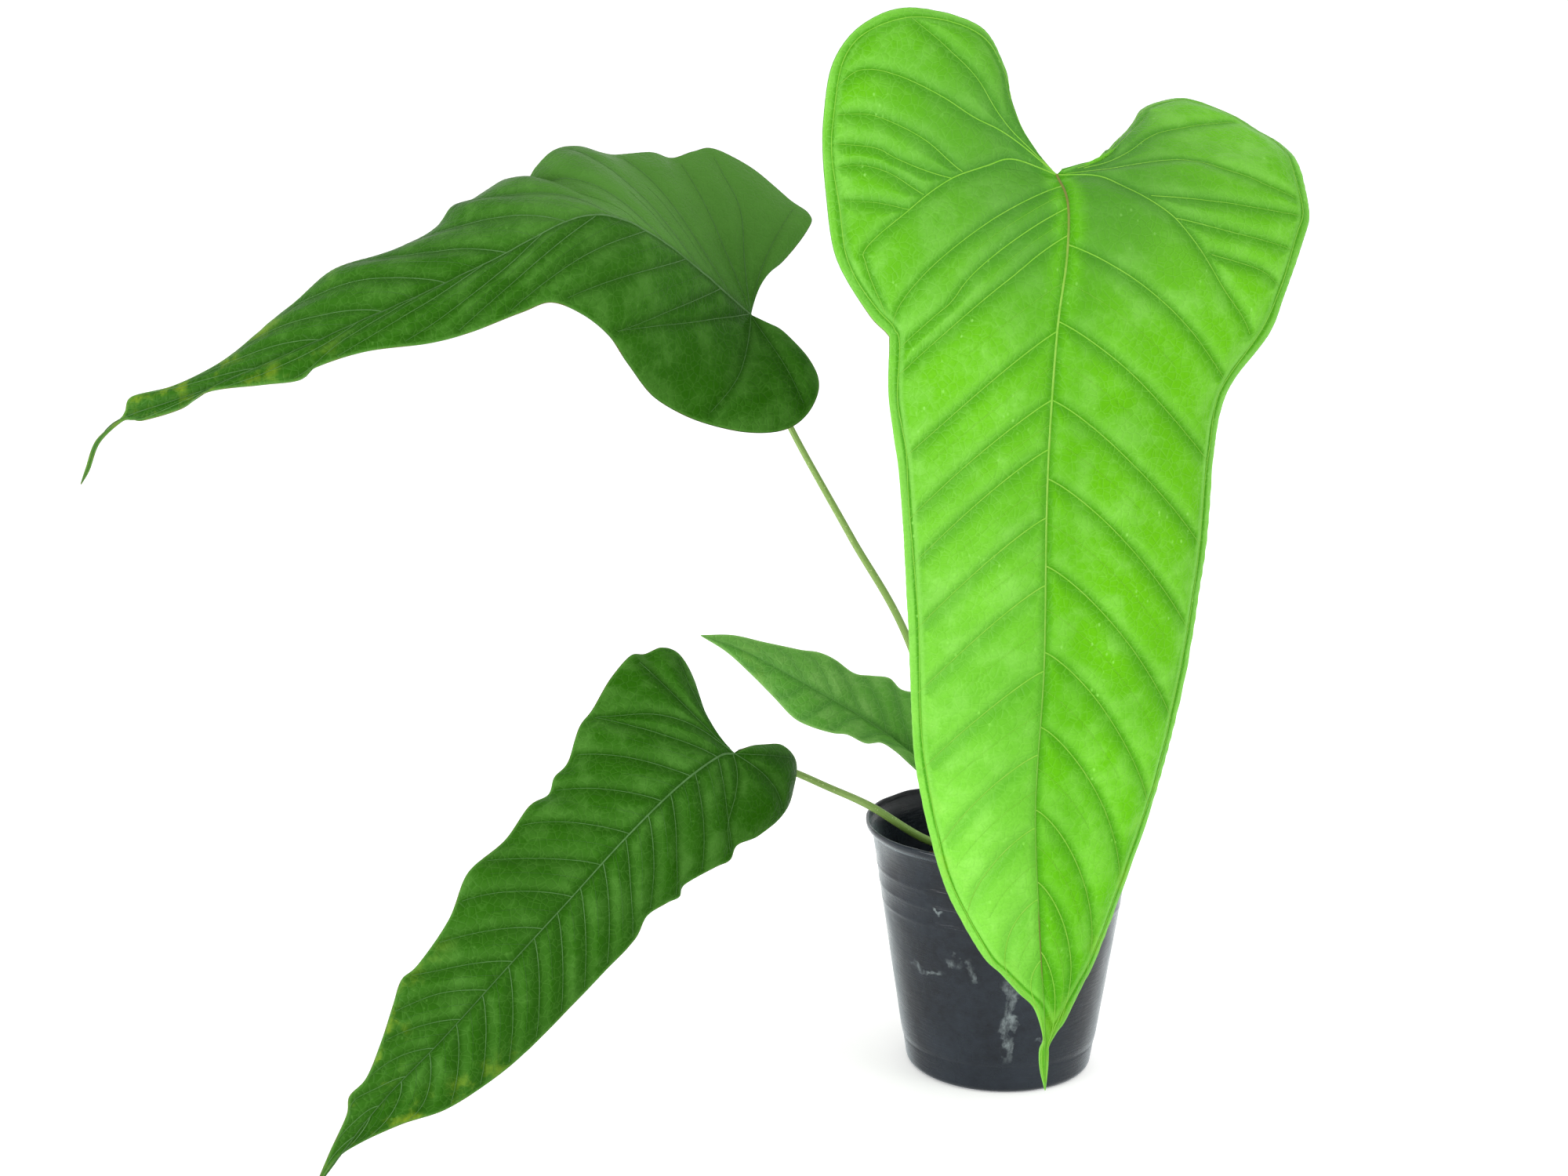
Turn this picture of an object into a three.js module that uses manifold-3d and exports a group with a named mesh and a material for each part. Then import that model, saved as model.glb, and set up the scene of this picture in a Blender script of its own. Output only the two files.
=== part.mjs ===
// A potted anthurium: a thin nursery pot, its potting mix, a short crown, four leaf stalks and four
// heart-shaped leaf blades. Millimetres, +Z up. The origin is the centre of the pot's base, on the
// surface that the pot stands on. The largest leaf hangs in front of the pot, towards -Y.
import * as THREE from "three";
import { mergeVertices } from "three/addons/utils/BufferGeometryUtils.js";
import Module from "manifold-3d";

const wasm = await Module();
wasm.setup();

// ---------------------------------------------------------------- driving sizes
const clearance = 0.3; // kept between pieces that touch

const pot = {
  height: 111,
  rimRadius: 60,
  baseRadius: 41,
  wall: 1.3,
  floor: 2,
  cornerRadius: 3,
  footHeight: 12, // a slightly narrower band above the base
  footStep: 0.6,
  lipHeight: 5, // the rim flares out over this height
  lipReach: 2.8,
  ringCount: 3, // low beads moulded around the wall
  ringDrop: 17, // from the rim to the first bead
  ringPitch: 8,
  ringHeight: 2,
  ringRise: 0.4,
  sides: 48,
};
const drain = { count: 6, radius: 4.5, circleRadius: 27 };

const soil = { drop: 28, mound: 3 }; // below the rim at the wall, and the rise to the crown

const crown = { height: 5, depth: 7, flare: 2.5, cap: 0.8 };

const stalk = { baseRadius: 2, tipRadius: 1.2, gap: 0.6, upright: 3, approach: 7, sides: 8, steps: 20 };

const bladeThickness = 0.8;
// the ribs crowd towards the junction, where the margin runs fastest along the midrib
const bladeSteps = { lobe: 14, body: 22, across: 4, crowding: 1.6 };

// ---------------------------------------------------------------- the leaves
// These rows were not drawn freely: points were placed by eye in one view, given a chosen depth, and
// turned into millimetres by a calculation outside this file. Some were then moved by hand.
// Each blade starts where its stalk meets it. `junction` is measured from the middle of the soil's
// surface, and all other points from the junction. A margin row is [how far down the midrib its rib
// starts, x, y, z]. A rib of 0 starts at the junction, so those rows go around the lobe. `arch` is
// how far the half bulges to its upper side, and `bow` how far its lobe's ribs bend away from the
// notch, both as a share of a rib's length; `lobe` is the share of the margin that the bow covers.
// A stalk's points are measured from the middle of the soil's surface. Where a stalk leaves over the
// pot's rim, its point is given by its bearing in degrees, how far inside the rim's edge it crosses
// and how high above the rim.
const leaves = [
  {
    name: "front",
    length: 371,
    junction: [9, -70, 303],
    facing: [0, -1, 0.3],
    stalkVia: [[3, -5, 60], [7, -9, 150], [12, -24, 230], [14, -44, 276]],
    midrib: [
      [0, 0, 0], [3, -12, -11], [2, -21, -31], [-2, -28, -60], [-5, -34, -113],
      [-5, -36, -186], [-7, -35, -242], [-4, -33, -293], [-1, -31, -331], [0, -30, -361],
    ],
    bow: 0.22,
    lobe: 0.42,
    left: {
      arch: 0.1,
      margin: [
        [0, -2, 0, 2], [0, -10, 2, 7], [0, -16, 4, 16], [0, -17, 6, 27], [0, -19, 10, 41],
        [0, -29, 13, 57], [0, -55, 15, 64], [0, -74, 14, 58], [0, -86, 10, 43], [0, -90, 6, 19],
        [0.01, -89, 1, -6], [0.04, -85, -5, -31], [0.08, -73, -11, -52], [0.095, -66, -14, -59.5],
        [0.11, -65, -15, -63], [0.17, -65, -18, -82], [0.23, -63, -20, -99], [0.29, -61, -22, -115],
        [0.41, -58, -24, -154], [0.52, -56, -24, -191], [0.63, -54, -24, -226],
        [0.73, -47, -25, -258], [0.8, -39, -26, -283], [0.86, -26, -28, -306],
        [0.885, -18, -29, -314], [0.9, -11, -30, -321], [0.915, -5, -30, -327],
        [0.94, -1.3, -30, -338.5], [0.955, -2.6, -30, -344], [0.98, -2.2, -30, -352],
        [1, 0, -30, -361],
      ],
    },
    right: {
      arch: 0.16,
      margin: [
        [0, 2, 0, 2], [0, 9, 4, 4], [0, 19, 12, 7], [0, 25, 24, 13], [0, 33, 35, 20], [0, 41, 48, 28],
        [0, 59, 60, 32], [0, 76, 58, 27], [0, 87, 50, 20], [0, 96, 40, 13], [0, 100, 28, 5],
        [0.01, 101, 12, -13], [0.03, 98, 5, -24], [0.07, 89, -6, -45], [0.11, 83, -10, -60],
        [0.16, 70, -14, -77], [0.2, 65, -15, -88], [0.25, 62, -16, -105], [0.35, 60, -18, -139],
        [0.46, 56, -18, -177], [0.56, 51, -18, -210], [0.67, 42, -18, -246], [0.76, 32, -20, -279],
        [0.85, 20, -24, -310], [0.91, 9, -28, -331], [0.935, 4.5, -29, -337], [0.95, 1.2, -30, -342],
        [0.965, 1, -30, -346], [0.98, 0.8, -30, -352], [1, 0, -30, -361],
      ],
    },
  },
  {
    name: "lower",
    length: 247,
    junction: [-117, -35, 64],
    facing: [0.1, -0.7, 0.7],
    stalkVia: [
      [-8, -3, 12], [-32, -4, 16], { bearing: 185, inset: 2, rise: 7 }, [-77, 2, 39],
      [-93, 6, 45], [-104, 0, 49],
    ],
    midrib: [
      [0, 0, 0], [-7, -7, 0], [-23, -25, -8], [-43, -43, -24], [-64, -59, -44],
      [-86, -75, -65], [-111, -90, -90], [-135, -102, -113], [-159, -111, -143],
    ],
    bow: 0.2,
    lobe: 0.4,
    left: {
      arch: 0.1,
      margin: [
        [0, -2, 1, 2], [0, -9, 7, 7], [0, -14, 13, 17], [0, -18, 19, 29], [0, -24, 23, 38],
        [0, -31, 22, 41], [0, -38, 19, 39], [0, -44, 15, 39], [0.02, -52, 7, 31], [0.07, -59, -3, 20],
        [0.11, -64, -10, 14], [0.17, -68, -20, 2], [0.205, -73, -26, -3], [0.24, -75, -31, -9],
        [0.28, -82, -37, -12], [0.34, -91, -47, -23], [0.415, -104, -61, -32], [0.49, -111, -69, -49],
        [0.58, -122, -79, -64], [0.62, -128, -83, -69], [0.66, -131, -87, -78],
        [0.74, -135, -94, -91], [0.8, -140, -99, -103], [0.84, -146, -102, -109],
        [0.87, -147, -104, -116], [0.94, -153, -108, -129], [1, -159, -111, -143],
      ],
    },
    right: {
      arch: 0.14,
      margin: [
        [0, 2, 1, 1], [0, 10, 11, 1], [0, 20, 23, -2], [0, 26, 29, -10], [0, 26, 26, -20],
        [0, 22, 15, -30], [0.03, 11, 1, -36], [0.07, 2, -10, -37], [0.095, -1, -15, -42],
        [0.12, -7, -22, -43], [0.18, -19, -32, -47], [0.2, -21, -36, -51], [0.23, -26, -41, -52],
        [0.275, -34, -48, -55], [0.32, -39, -53, -63], [0.38, -49, -61, -72], [0.48, -64, -72, -85],
        [0.58, -80, -82, -99], [0.67, -95, -90, -109], [0.76, -111, -97, -117],
        [0.82, -127, -101, -121], [0.88, -142, -104, -127], [0.94, -151, -108, -132],
        [1, -159, -111, -143],
      ],
    },
  },
  {
    name: "upper",
    length: 333,
    junction: [-110, 4, 245],
    facing: [0.3, -0.7, 0.65],
    stalkVia: [[-16, 4, 30], [-42, 4, 105], [-67, 4, 150], [-93, 6, 197], [-105, 8, 226]],
    midrib: [
      [0, 0, 0], [-10, -12, 9], [-22, -26, 21], [-35, -38, 32], [-52, -50, 41],
      [-67, -59, 41], [-89, -69, 31], [-121, -79, 15], [-160, -85, -2], [-200, -84, -20],
      [-223, -81, -28], [-246, -77, -36], [-256, -75, -45], [-261, -74, -56], [-264, -74, -62],
    ],
    bow: 0.2,
    lobe: 0.4,
    left: {
      arch: 0.12,
      margin: [
        [0, 0, 1, 2], [0, 0, 8, 12], [0, 13, 18, 21], [0, 25, 32, 36], [0, 25, 37, 42],
        [0, 17, 40, 48], [0, 1, 42, 61], [0, -16, 39, 70], [0.01, -25, 34, 69], [0.04, -34, 28, 66],
        [0.06, -43, 23, 68], [0.11, -58, 15, 67], [0.15, -72, 7, 71], [0.19, -82, -2, 69],
        [0.22, -89, -8, 62], [0.24, -94, -13, 54], [0.26, -100, -19, 57], [0.3, -112, -29, 49],
        [0.33, -120, -34, 46], [0.37, -127, -40, 37], [0.44, -144, -52, 28], [0.51, -164, -60, 22],
        [0.57, -179, -66, 9], [0.67, -200, -74, -9], [0.73, -212, -77, -17], [0.79, -225, -78, -23],
        [0.85, -241, -77, -27], [0.88, -244, -77, -33], [0.905, -246.4, -77, -36.2],
        [0.945, -256.6, -75, -44.6], [0.98, -261.6, -74, -55.7], [1, -264, -74, -62],
      ],
    },
    right: {
      arch: 0.14,
      margin: [
        [0, 2, -1, -2], [0, 13, -4, -6], [0, 25, -8, -18], [0, 29, -12, -29], [0, 24, -18, -40],
        [0, 14, -24, -46], [0, -2, -32, -46], [0.02, -21, -41, -40], [0.05, -37, -51, -30],
        [0.09, -47, -61, -16], [0.13, -54, -68, -4], [0.17, -64, -75, 5], [0.22, -76, -80, 10],
        [0.26, -88, -84, 6], [0.33, -106, -89, -1], [0.4, -122, -92, -5], [0.48, -146, -94, -8],
        [0.55, -165, -94, -14], [0.6, -172, -94, -19], [0.65, -187, -92, -21], [0.72, -208, -88, -24],
        [0.78, -220, -84, -31], [0.85, -236, -79, -36], [0.88, -241, -78, -36],
        [0.905, -245.7, -77, -36.9], [0.945, -255.4, -75, -45.4], [0.98, -260.4, -74, -56.3],
        [1, -264, -74, -62],
      ],
    },
  },
  {
    name: "small",
    length: 136,
    junction: [-21, 34, 31],
    facing: [0.1, -0.7, 0.7],
    stalkVia: [[1, 9, 10], [-7, 20, 17], [-15, 29, 22]],
    midrib: [[0, 0, 0], [-16, 8, 12], [-39, 18, 27], [-68, 28, 42], [-93, 36, 54], [-114, 40, 61]],
    bow: 0.1,
    lobe: 0.3,
    left: {
      arch: 0.12,
      margin: [
        [0, 1, 1, 2], [0, 7, 6, 11], [0, 14, 13, 23], [0, 13, 20, 32], [0, 3, 24, 37],
        [0.08, -10, 26, 37], [0.17, -20, 27, 38], [0.24, -26, 29, 43], [0.31, -34, 30, 44],
        [0.38, -42, 31, 45], [0.46, -51, 33, 51], [0.54, -59, 35, 54], [0.61, -68, 36, 55],
        [0.75, -84, 38, 58], [0.88, -99, 40, 61], [1, -114, 40, 61],
      ],
    },
    right: {
      arch: 0.12,
      margin: [
        [0, 2, -2, 1], [0, 10, -9, 4], [0, 14, -14, 5], [0, 11, -18, 3], [0, 4, -18, 1],
        [0.05, -6, -15, 3], [0.12, -17, -10, 11], [0.19, -25, -4, 17], [0.25, -31, 0, 20],
        [0.32, -38, 3, 19], [0.4, -46, 7, 22], [0.46, -53, 10, 22], [0.55, -63, 14, 24],
        [0.62, -71, 19, 27], [0.72, -80, 26, 35], [0.81, -91, 32, 45], [0.91, -102, 37, 54],
        [1, -114, 40, 61],
      ],
    },
  },
];

// ---------------------------------------------------------------- sizes worked out from those
const lipStart = pot.height - pot.lipHeight;
const wallTopRadius = pot.rimRadius - pot.lipReach;
const wallRadius = (z) => pot.baseRadius + ((wallTopRadius - pot.baseRadius) * z) / lipStart;
const innerRadius = (z) => wallRadius(z) - pot.wall;

const soilEdge = pot.height - soil.drop;
const soilTop = soilEdge + soil.mound;

// the stalks stand on a circle that keeps their bases apart
const stalkCircle = (2 * stalk.baseRadius + stalk.gap) / (2 * Math.sin(Math.PI / leaves.length));
const crownRadius = stalkCircle + stalk.baseRadius + crown.cap;

// ---------------------------------------------------------------- materials
const paint = (color, roughness) => new THREE.MeshStandardMaterial({ color, roughness, metalness: 0 });
const potPlastic = paint(0x2e343c, 0.42);
const pottingMix = paint(0x3a2a1f, 0.95);
const crownSkin = paint(0x6f7a3c, 0.6);
const stalkGreen = paint(0x8fa05a, 0.45);
const bladeGreen = { front: 0x8cc63f, lower: 0x3f7a2c, upper: 0x3c6b33, small: 0x5f9a3c };

// ---------------------------------------------------------------- geometry helpers
// welds shared corners, and drops the slivers that a lathe leaves on its axis
function welded(geometry) {
  const bare = geometry.clone();
  bare.deleteAttribute("normal");
  bare.deleteAttribute("uv");
  const merged = mergeVertices(bare, 1e-4);
  const old = merged.getIndex().array;
  const kept = [];
  for (let i = 0; i < old.length; i += 3) {
    const [a, b, c] = [old[i], old[i + 1], old[i + 2]];
    if (a !== b && b !== c && c !== a) kept.push(a, b, c);
  }
  merged.setIndex(kept);
  return merged;
}

// a profile of [radius, height] points turned around the Z axis
function turned(profile, sides) {
  const points = profile.map(([radius, height]) => new THREE.Vector2(radius, height));
  return welded(new THREE.LatheGeometry(points, sides).rotateX(Math.PI / 2));
}

function toSolid(geometry) {
  const vertProperties = Float32Array.from(geometry.getAttribute("position").array);
  const triVerts = Uint32Array.from(geometry.getIndex().array);
  return new wasm.Manifold(new wasm.Mesh({ numProp: 3, vertProperties, triVerts }));
}

function toGeometry(solid) {
  const mesh = solid.getMesh();
  const geometry = new THREE.BufferGeometry();
  geometry.setAttribute("position", new THREE.Float32BufferAttribute(mesh.vertProperties, 3));
  geometry.setIndex(Array.from(mesh.triVerts));
  return geometry;
}

function smoothCurve(points) {
  return new THREE.CatmullRomCurve3(points, false, "catmullrom", 0.5);
}

// a round tube along a curve, its radius given by a function of the share travelled
function taperedTube(curve, radiusAt, sides, steps) {
  const frames = curve.computeFrenetFrames(steps, false);
  const positions = [];
  const index = [];
  for (let i = 0; i <= steps; i += 1) {
    const centre = curve.getPointAt(i / steps);
    const radius = radiusAt(i / steps);
    for (let k = 0; k < sides; k += 1) {
      const angle = (2 * Math.PI * k) / sides;
      const rim = centre.clone();
      rim.addScaledVector(frames.normals[i], radius * Math.cos(angle));
      rim.addScaledVector(frames.binormals[i], radius * Math.sin(angle));
      positions.push(rim.x, rim.y, rim.z);
    }
  }
  for (let i = 0; i < steps; i += 1) {
    for (let k = 0; k < sides; k += 1) {
      const a = i * sides + k;
      const b = i * sides + ((k + 1) % sides);
      index.push(a, b, b + sides, a, b + sides, a + sides);
    }
  }
  const last = steps * sides;
  for (let k = 1; k < sides - 1; k += 1) {
    index.push(0, k + 1, k);
    index.push(last, last + k, last + k + 1);
  }
  const geometry = new THREE.BufferGeometry();
  geometry.setAttribute("position", new THREE.Float32BufferAttribute(positions, 3));
  geometry.setIndex(index);
  return geometry;
}

// ---------------------------------------------------------------- pot
function potProfile() {
  const corner = [];
  for (let i = 0; i <= 3; i += 1) {
    const angle = (Math.PI / 2) * (i / 3);
    const out = pot.cornerRadius * Math.sin(angle);
    const up = pot.cornerRadius * (1 - Math.cos(angle));
    corner.push([wallRadius(up) - pot.footStep - pot.cornerRadius + out, up]);
  }
  const foot = [
    [wallRadius(pot.footHeight) - pot.footStep, pot.footHeight],
    [wallRadius(pot.footHeight + pot.footStep), pot.footHeight + pot.footStep],
  ];
  const rings = [];
  for (let i = pot.ringCount - 1; i >= 0; i -= 1) {
    const middle = pot.height - pot.ringDrop - i * pot.ringPitch;
    const [low, high] = [middle - pot.ringHeight / 2, middle + pot.ringHeight / 2];
    rings.push([wallRadius(low), low], [wallRadius(middle) + pot.ringRise, middle]);
    rings.push([wallRadius(high), high]);
  }
  const lip = [
    [wallTopRadius, lipStart],
    [pot.rimRadius - 0.3, pot.height - 2.5],
    [pot.rimRadius, pot.height - 1],
    [pot.rimRadius - 0.4, pot.height],
    [pot.rimRadius - pot.wall, pot.height],
    [pot.rimRadius - pot.wall - 0.6, pot.height - 2.5],
  ];
  const inside = [
    [innerRadius(lipStart), lipStart],
    [innerRadius(pot.floor), pot.floor],
    [0, pot.floor],
  ];
  return [[0, 0], ...corner, ...foot, ...rings, ...lip, ...inside];
}

function makePot() {
  let solid = toSolid(turned(potProfile(), pot.sides));
  for (let i = 0; i < drain.count; i += 1) {
    const angle = (2 * Math.PI * (i + 0.5)) / drain.count;
    const hole = new THREE.CylinderGeometry(drain.radius, drain.radius, 4 * pot.floor, 16);
    hole.rotateX(Math.PI / 2);
    hole.translate(drain.circleRadius * Math.cos(angle), drain.circleRadius * Math.sin(angle), 0);
    solid = solid.subtract(toSolid(welded(hole)));
  }
  return new THREE.Mesh(toGeometry(solid), potPlastic);
}

// ---------------------------------------------------------------- potting mix and crown
function makePottingMix() {
  const bottom = pot.floor + clearance;
  const socket = crownRadius + crown.flare + clearance;
  const rise = (radius) => soilTop - (soil.mound * radius) / innerRadius(soilEdge);
  const middle = (socket + innerRadius(soilEdge)) / 2;
  const profile = [
    [0, bottom],
    [innerRadius(bottom) - clearance, bottom],
    [innerRadius(soilEdge) - clearance, soilEdge],
    [middle, rise(middle)],
    [socket, rise(socket)],
    [socket, soilTop - crown.depth - clearance],
    [0, soilTop - crown.depth - clearance],
  ];
  return new THREE.Mesh(turned(profile, 36), pottingMix);
}

function makeCrown() {
  const buried = crownRadius + crown.flare;
  const profile = [
    [0, -crown.depth],
    [buried - 2, -crown.depth],
    [buried, -crown.depth / 2],
    [buried, 0],
    [crownRadius, crown.height - 1],
    [crownRadius - 0.4, crown.height],
    [0, crown.height],
  ];
  return new THREE.Mesh(turned(profile, 20), crownSkin);
}

// ---------------------------------------------------------------- leaf blades
// the shares along a margin at which ribs are drawn: around the lobe from the junction, and then
// from places on the midrib that both halves have in common
function ribPlaces(half) {
  const ribs = smoothCurve(half.margin.map((row) => new THREE.Vector3(row[0], 0, 0)));
  const shareAt = (place) => {
    let [low, high] = [0, 1];
    for (let i = 0; i < 40; i += 1) {
      const middle = (low + high) / 2;
      if (ribs.getPoint(middle).x <= place) low = middle;
      else high = middle;
    }
    return low;
  };
  const lobeEnd = shareAt(1e-4);
  const places = [];
  for (let i = 0; i <= bladeSteps.lobe; i += 1) {
    places.push({ rib: 0, along: (lobeEnd * i) / bladeSteps.lobe });
  }
  for (let i = 1; i <= bladeSteps.body; i += 1) {
    const rib = (i / bladeSteps.body) ** bladeSteps.crowding;
    places.push({ rib, along: i < bladeSteps.body ? shareAt(rib) : 1 });
  }
  return places;
}

// one half of a blade as a function of a rib's place and the share across it
function halfBlade(leaf, half, side) {
  const scale = leaf.length / smoothCurve(leaf.midrib.map((p) => new THREE.Vector3(...p))).getLength();
  const midrib = smoothCurve(leaf.midrib.map((p) => new THREE.Vector3(...p).multiplyScalar(scale)));
  const rows = half.margin;
  const margin = smoothCurve(rows.map((row) => new THREE.Vector3(...row.slice(1)).multiplyScalar(scale)));
  const facing = new THREE.Vector3(...leaf.facing).normalize();
  return ({ rib: place, along }, across) => {
    const start = midrib.getPointAt(place);
    const end = margin.getPoint(along);
    const rib = end.clone().sub(start);
    const length = rib.length();
    if (length < 1e-6) return start;
    rib.normalize();
    const up = facing.clone().addScaledVector(rib, -facing.dot(rib)).normalize();
    const sideways = up.clone().cross(rib).multiplyScalar(side);
    const bend = leaf.bow * Math.sin(Math.PI * Math.sqrt(Math.min(along / leaf.lobe, 1)));
    const middle = start.clone().add(end).multiplyScalar(0.5);
    middle.addScaledVector(up, half.arch * length).addScaledVector(sideways, bend * length);
    return new THREE.QuadraticBezierCurve3(start, middle, end).getPoint(across);
  };
}

// the blade's middle surface: both halves share the midrib and the junction
function bladeSurface(leaf) {
  const positions = [];
  const index = [];
  const seen = new Map();
  const corner = (point) => {
    const key = point.toArray().map((value) => Math.round(value * 1e4)).join();
    if (!seen.has(key)) {
      seen.set(key, positions.length / 3);
      positions.push(point.x, point.y, point.z);
    }
    return seen.get(key);
  };
  for (const [half, side] of [[leaf.left, 1], [leaf.right, -1]]) {
    const at = halfBlade(leaf, half, side);
    const grid = ribPlaces(half).map((place) => {
      const column = [];
      for (let j = 0; j <= bladeSteps.across; j += 1) column.push(corner(at(place, j / bladeSteps.across)));
      return column;
    });
    for (let i = 0; i < grid.length - 1; i += 1) {
      for (let j = 0; j < bladeSteps.across; j += 1) {
        const [a, b, c, d] = [grid[i][j], grid[i][j + 1], grid[i + 1][j + 1], grid[i + 1][j]];
        for (const face of [[a, b, c], [a, c, d]]) {
          if (new Set(face).size === 3) index.push(...(side > 0 ? face : face.reverse()));
        }
      }
    }
  }
  const geometry = new THREE.BufferGeometry();
  geometry.setAttribute("position", new THREE.Float32BufferAttribute(positions, 3));
  geometry.setIndex(index);
  geometry.computeVertexNormals();
  return geometry;
}

// a surface given a thickness: both faces, and a strip around every open edge
function thickened(surface, thickness) {
  const position = surface.getAttribute("position");
  const normal = surface.getAttribute("normal");
  const index = surface.getIndex().array;
  const count = position.count;
  const positions = [];
  for (const sign of [0.5, -0.5]) {
    for (let i = 0; i < count; i += 1) {
      const point = new THREE.Vector3().fromBufferAttribute(position, i);
      point.addScaledVector(new THREE.Vector3().fromBufferAttribute(normal, i), sign * thickness);
      positions.push(point.x, point.y, point.z);
    }
  }
  const faces = [];
  const edges = new Map();
  for (let i = 0; i < index.length; i += 3) {
    const [a, b, c] = [index[i], index[i + 1], index[i + 2]];
    faces.push(a, b, c, a + count, c + count, b + count);
    for (const [from, to] of [[a, b], [b, c], [c, a]]) edges.set(`${from},${to}`, [from, to]);
  }
  for (const [from, to] of edges.values()) {
    if (edges.has(`${to},${from}`)) continue;
    faces.push(from, to + count, to, from, from + count, to + count);
  }
  const geometry = new THREE.BufferGeometry();
  geometry.setAttribute("position", new THREE.Float32BufferAttribute(positions, 3));
  geometry.setIndex(faces);
  return geometry;
}

function makeBlade(leaf, surface) {
  const mesh = new THREE.Mesh(thickened(surface, bladeThickness), paint(bladeGreen[leaf.name], 0.45));
  mesh.position.set(...leaf.junction);
  return mesh;
}

// ---------------------------------------------------------------- leaf stalks
// a stalk's point, from the middle of the soil's surface
function stalkPoint(point) {
  if (Array.isArray(point)) return new THREE.Vector3(...point);
  const angle = THREE.MathUtils.degToRad(point.bearing);
  const radius = pot.rimRadius - point.inset;
  const height = pot.height + point.rise - soilTop;
  return new THREE.Vector3(radius * Math.cos(angle), radius * Math.sin(angle), height);
}

// from its place on the crown, by the points drawn for it, to the back of its blade
function makeStalk(leaf, order, surface) {
  const angle = (-2 * Math.PI * (order + 0.5)) / leaves.length;
  const foot = new THREE.Vector3(stalkCircle * Math.cos(angle), stalkCircle * Math.sin(angle), 0);
  foot.z = crown.height + clearance;
  const raised = foot.clone().setZ(foot.z + stalk.upright);
  const normal = new THREE.Vector3().fromBufferAttribute(surface.getAttribute("normal"), 0);
  const junction = new THREE.Vector3(...leaf.junction);
  const reach = bladeThickness / 2 + clearance + stalk.tipRadius / 4;
  const end = junction.clone().addScaledVector(normal, -reach);
  const near = junction.clone().addScaledVector(normal, -stalk.approach);
  const via = leaf.stalkVia.map(stalkPoint);
  const curve = smoothCurve([foot, raised, ...via, near, end]);
  const radiusAt = (share) => THREE.MathUtils.lerp(stalk.baseRadius, stalk.tipRadius, share);
  return new THREE.Mesh(taperedTube(curve, radiusAt, stalk.sides, stalk.steps), stalkGreen);
}

// ---------------------------------------------------------------- the whole object
function named(name, mesh) {
  mesh.name = name;
  return mesh;
}

const plant = new THREE.Group();
plant.position.z = soilTop;
plant.add(named("crown", makeCrown()));
leaves.forEach((leaf, order) => {
  const surface = bladeSurface(leaf);
  plant.add(named(`leaf_stalk_${leaf.name}`, makeStalk(leaf, order, surface)));
  plant.add(named(`leaf_blade_${leaf.name}`, makeBlade(leaf, surface)));
});

const object = new THREE.Group();
object.add(named("nursery_pot", makePot()));
object.add(named("potting_mix", makePottingMix()));
object.add(plant);

export default object;
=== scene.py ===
import math
import random

import bpy
import numpy as np
from bpy.props import FloatProperty, FloatVectorProperty, IntProperty, PointerProperty
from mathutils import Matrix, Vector, noise
from mathutils.kdtree import KDTree


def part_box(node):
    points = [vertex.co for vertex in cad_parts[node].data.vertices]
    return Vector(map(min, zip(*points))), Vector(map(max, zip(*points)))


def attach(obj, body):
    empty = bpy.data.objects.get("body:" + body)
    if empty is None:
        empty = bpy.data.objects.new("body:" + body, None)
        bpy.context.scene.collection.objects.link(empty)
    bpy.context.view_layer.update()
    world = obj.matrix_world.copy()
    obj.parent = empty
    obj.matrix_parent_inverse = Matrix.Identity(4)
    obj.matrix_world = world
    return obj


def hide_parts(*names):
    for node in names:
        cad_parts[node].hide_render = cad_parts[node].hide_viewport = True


# A potted anthurium: a thin nursery pot with its potting mix, a short crown, four leaf stalks and
# four heart-shaped blades with sunken veins. Metres, +Z up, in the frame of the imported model.

bl_info = {
    "name": "Potted anthurium",
    "version": (1, 0, 0),
    "blender": (4, 5, 0),
    "location": "3D View > Sidebar > Anthurium",
    "description": "Builds a potted anthurium with veined, quilted leaf blades, piece by piece",
    "category": "Add Mesh",
}

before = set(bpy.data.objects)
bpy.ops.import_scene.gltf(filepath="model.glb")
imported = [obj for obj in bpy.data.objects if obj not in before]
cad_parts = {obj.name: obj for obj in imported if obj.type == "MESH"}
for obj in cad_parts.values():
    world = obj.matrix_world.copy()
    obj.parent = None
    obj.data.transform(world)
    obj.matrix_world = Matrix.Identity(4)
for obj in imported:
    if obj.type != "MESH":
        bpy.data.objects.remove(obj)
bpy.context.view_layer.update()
MM = 0.001


def box_size(node):
    low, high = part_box(node)
    return high - low


def linear(code):
    """A colour written as six hex digits, as the linear values that shaders take."""
    out = []
    for i in (0, 2, 4):
        part = int(code[i:i + 2], 16) / 255
        out.append(part / 12.92 if part <= 0.04045 else ((part + 0.055) / 1.055) ** 2.4)
    return tuple(out)


# ---------------------------------------------------------------- sizes and colours to change
def length(name, description, default, smallest=0.0):
    return FloatProperty(
        name=name, description=description, default=default, min=smallest,
        subtype="DISTANCE", unit="LENGTH", precision=4,
    )


def share(name, description, default, largest=1.0):
    return FloatProperty(
        name=name, description=description, default=default, min=0.0, max=largest, subtype="FACTOR"
    )


def colour(name, description, code):
    return FloatVectorProperty(
        name=name, description=description, default=linear(code), size=3, min=0.0, max=1.0,
        subtype="COLOR",
    )


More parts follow.
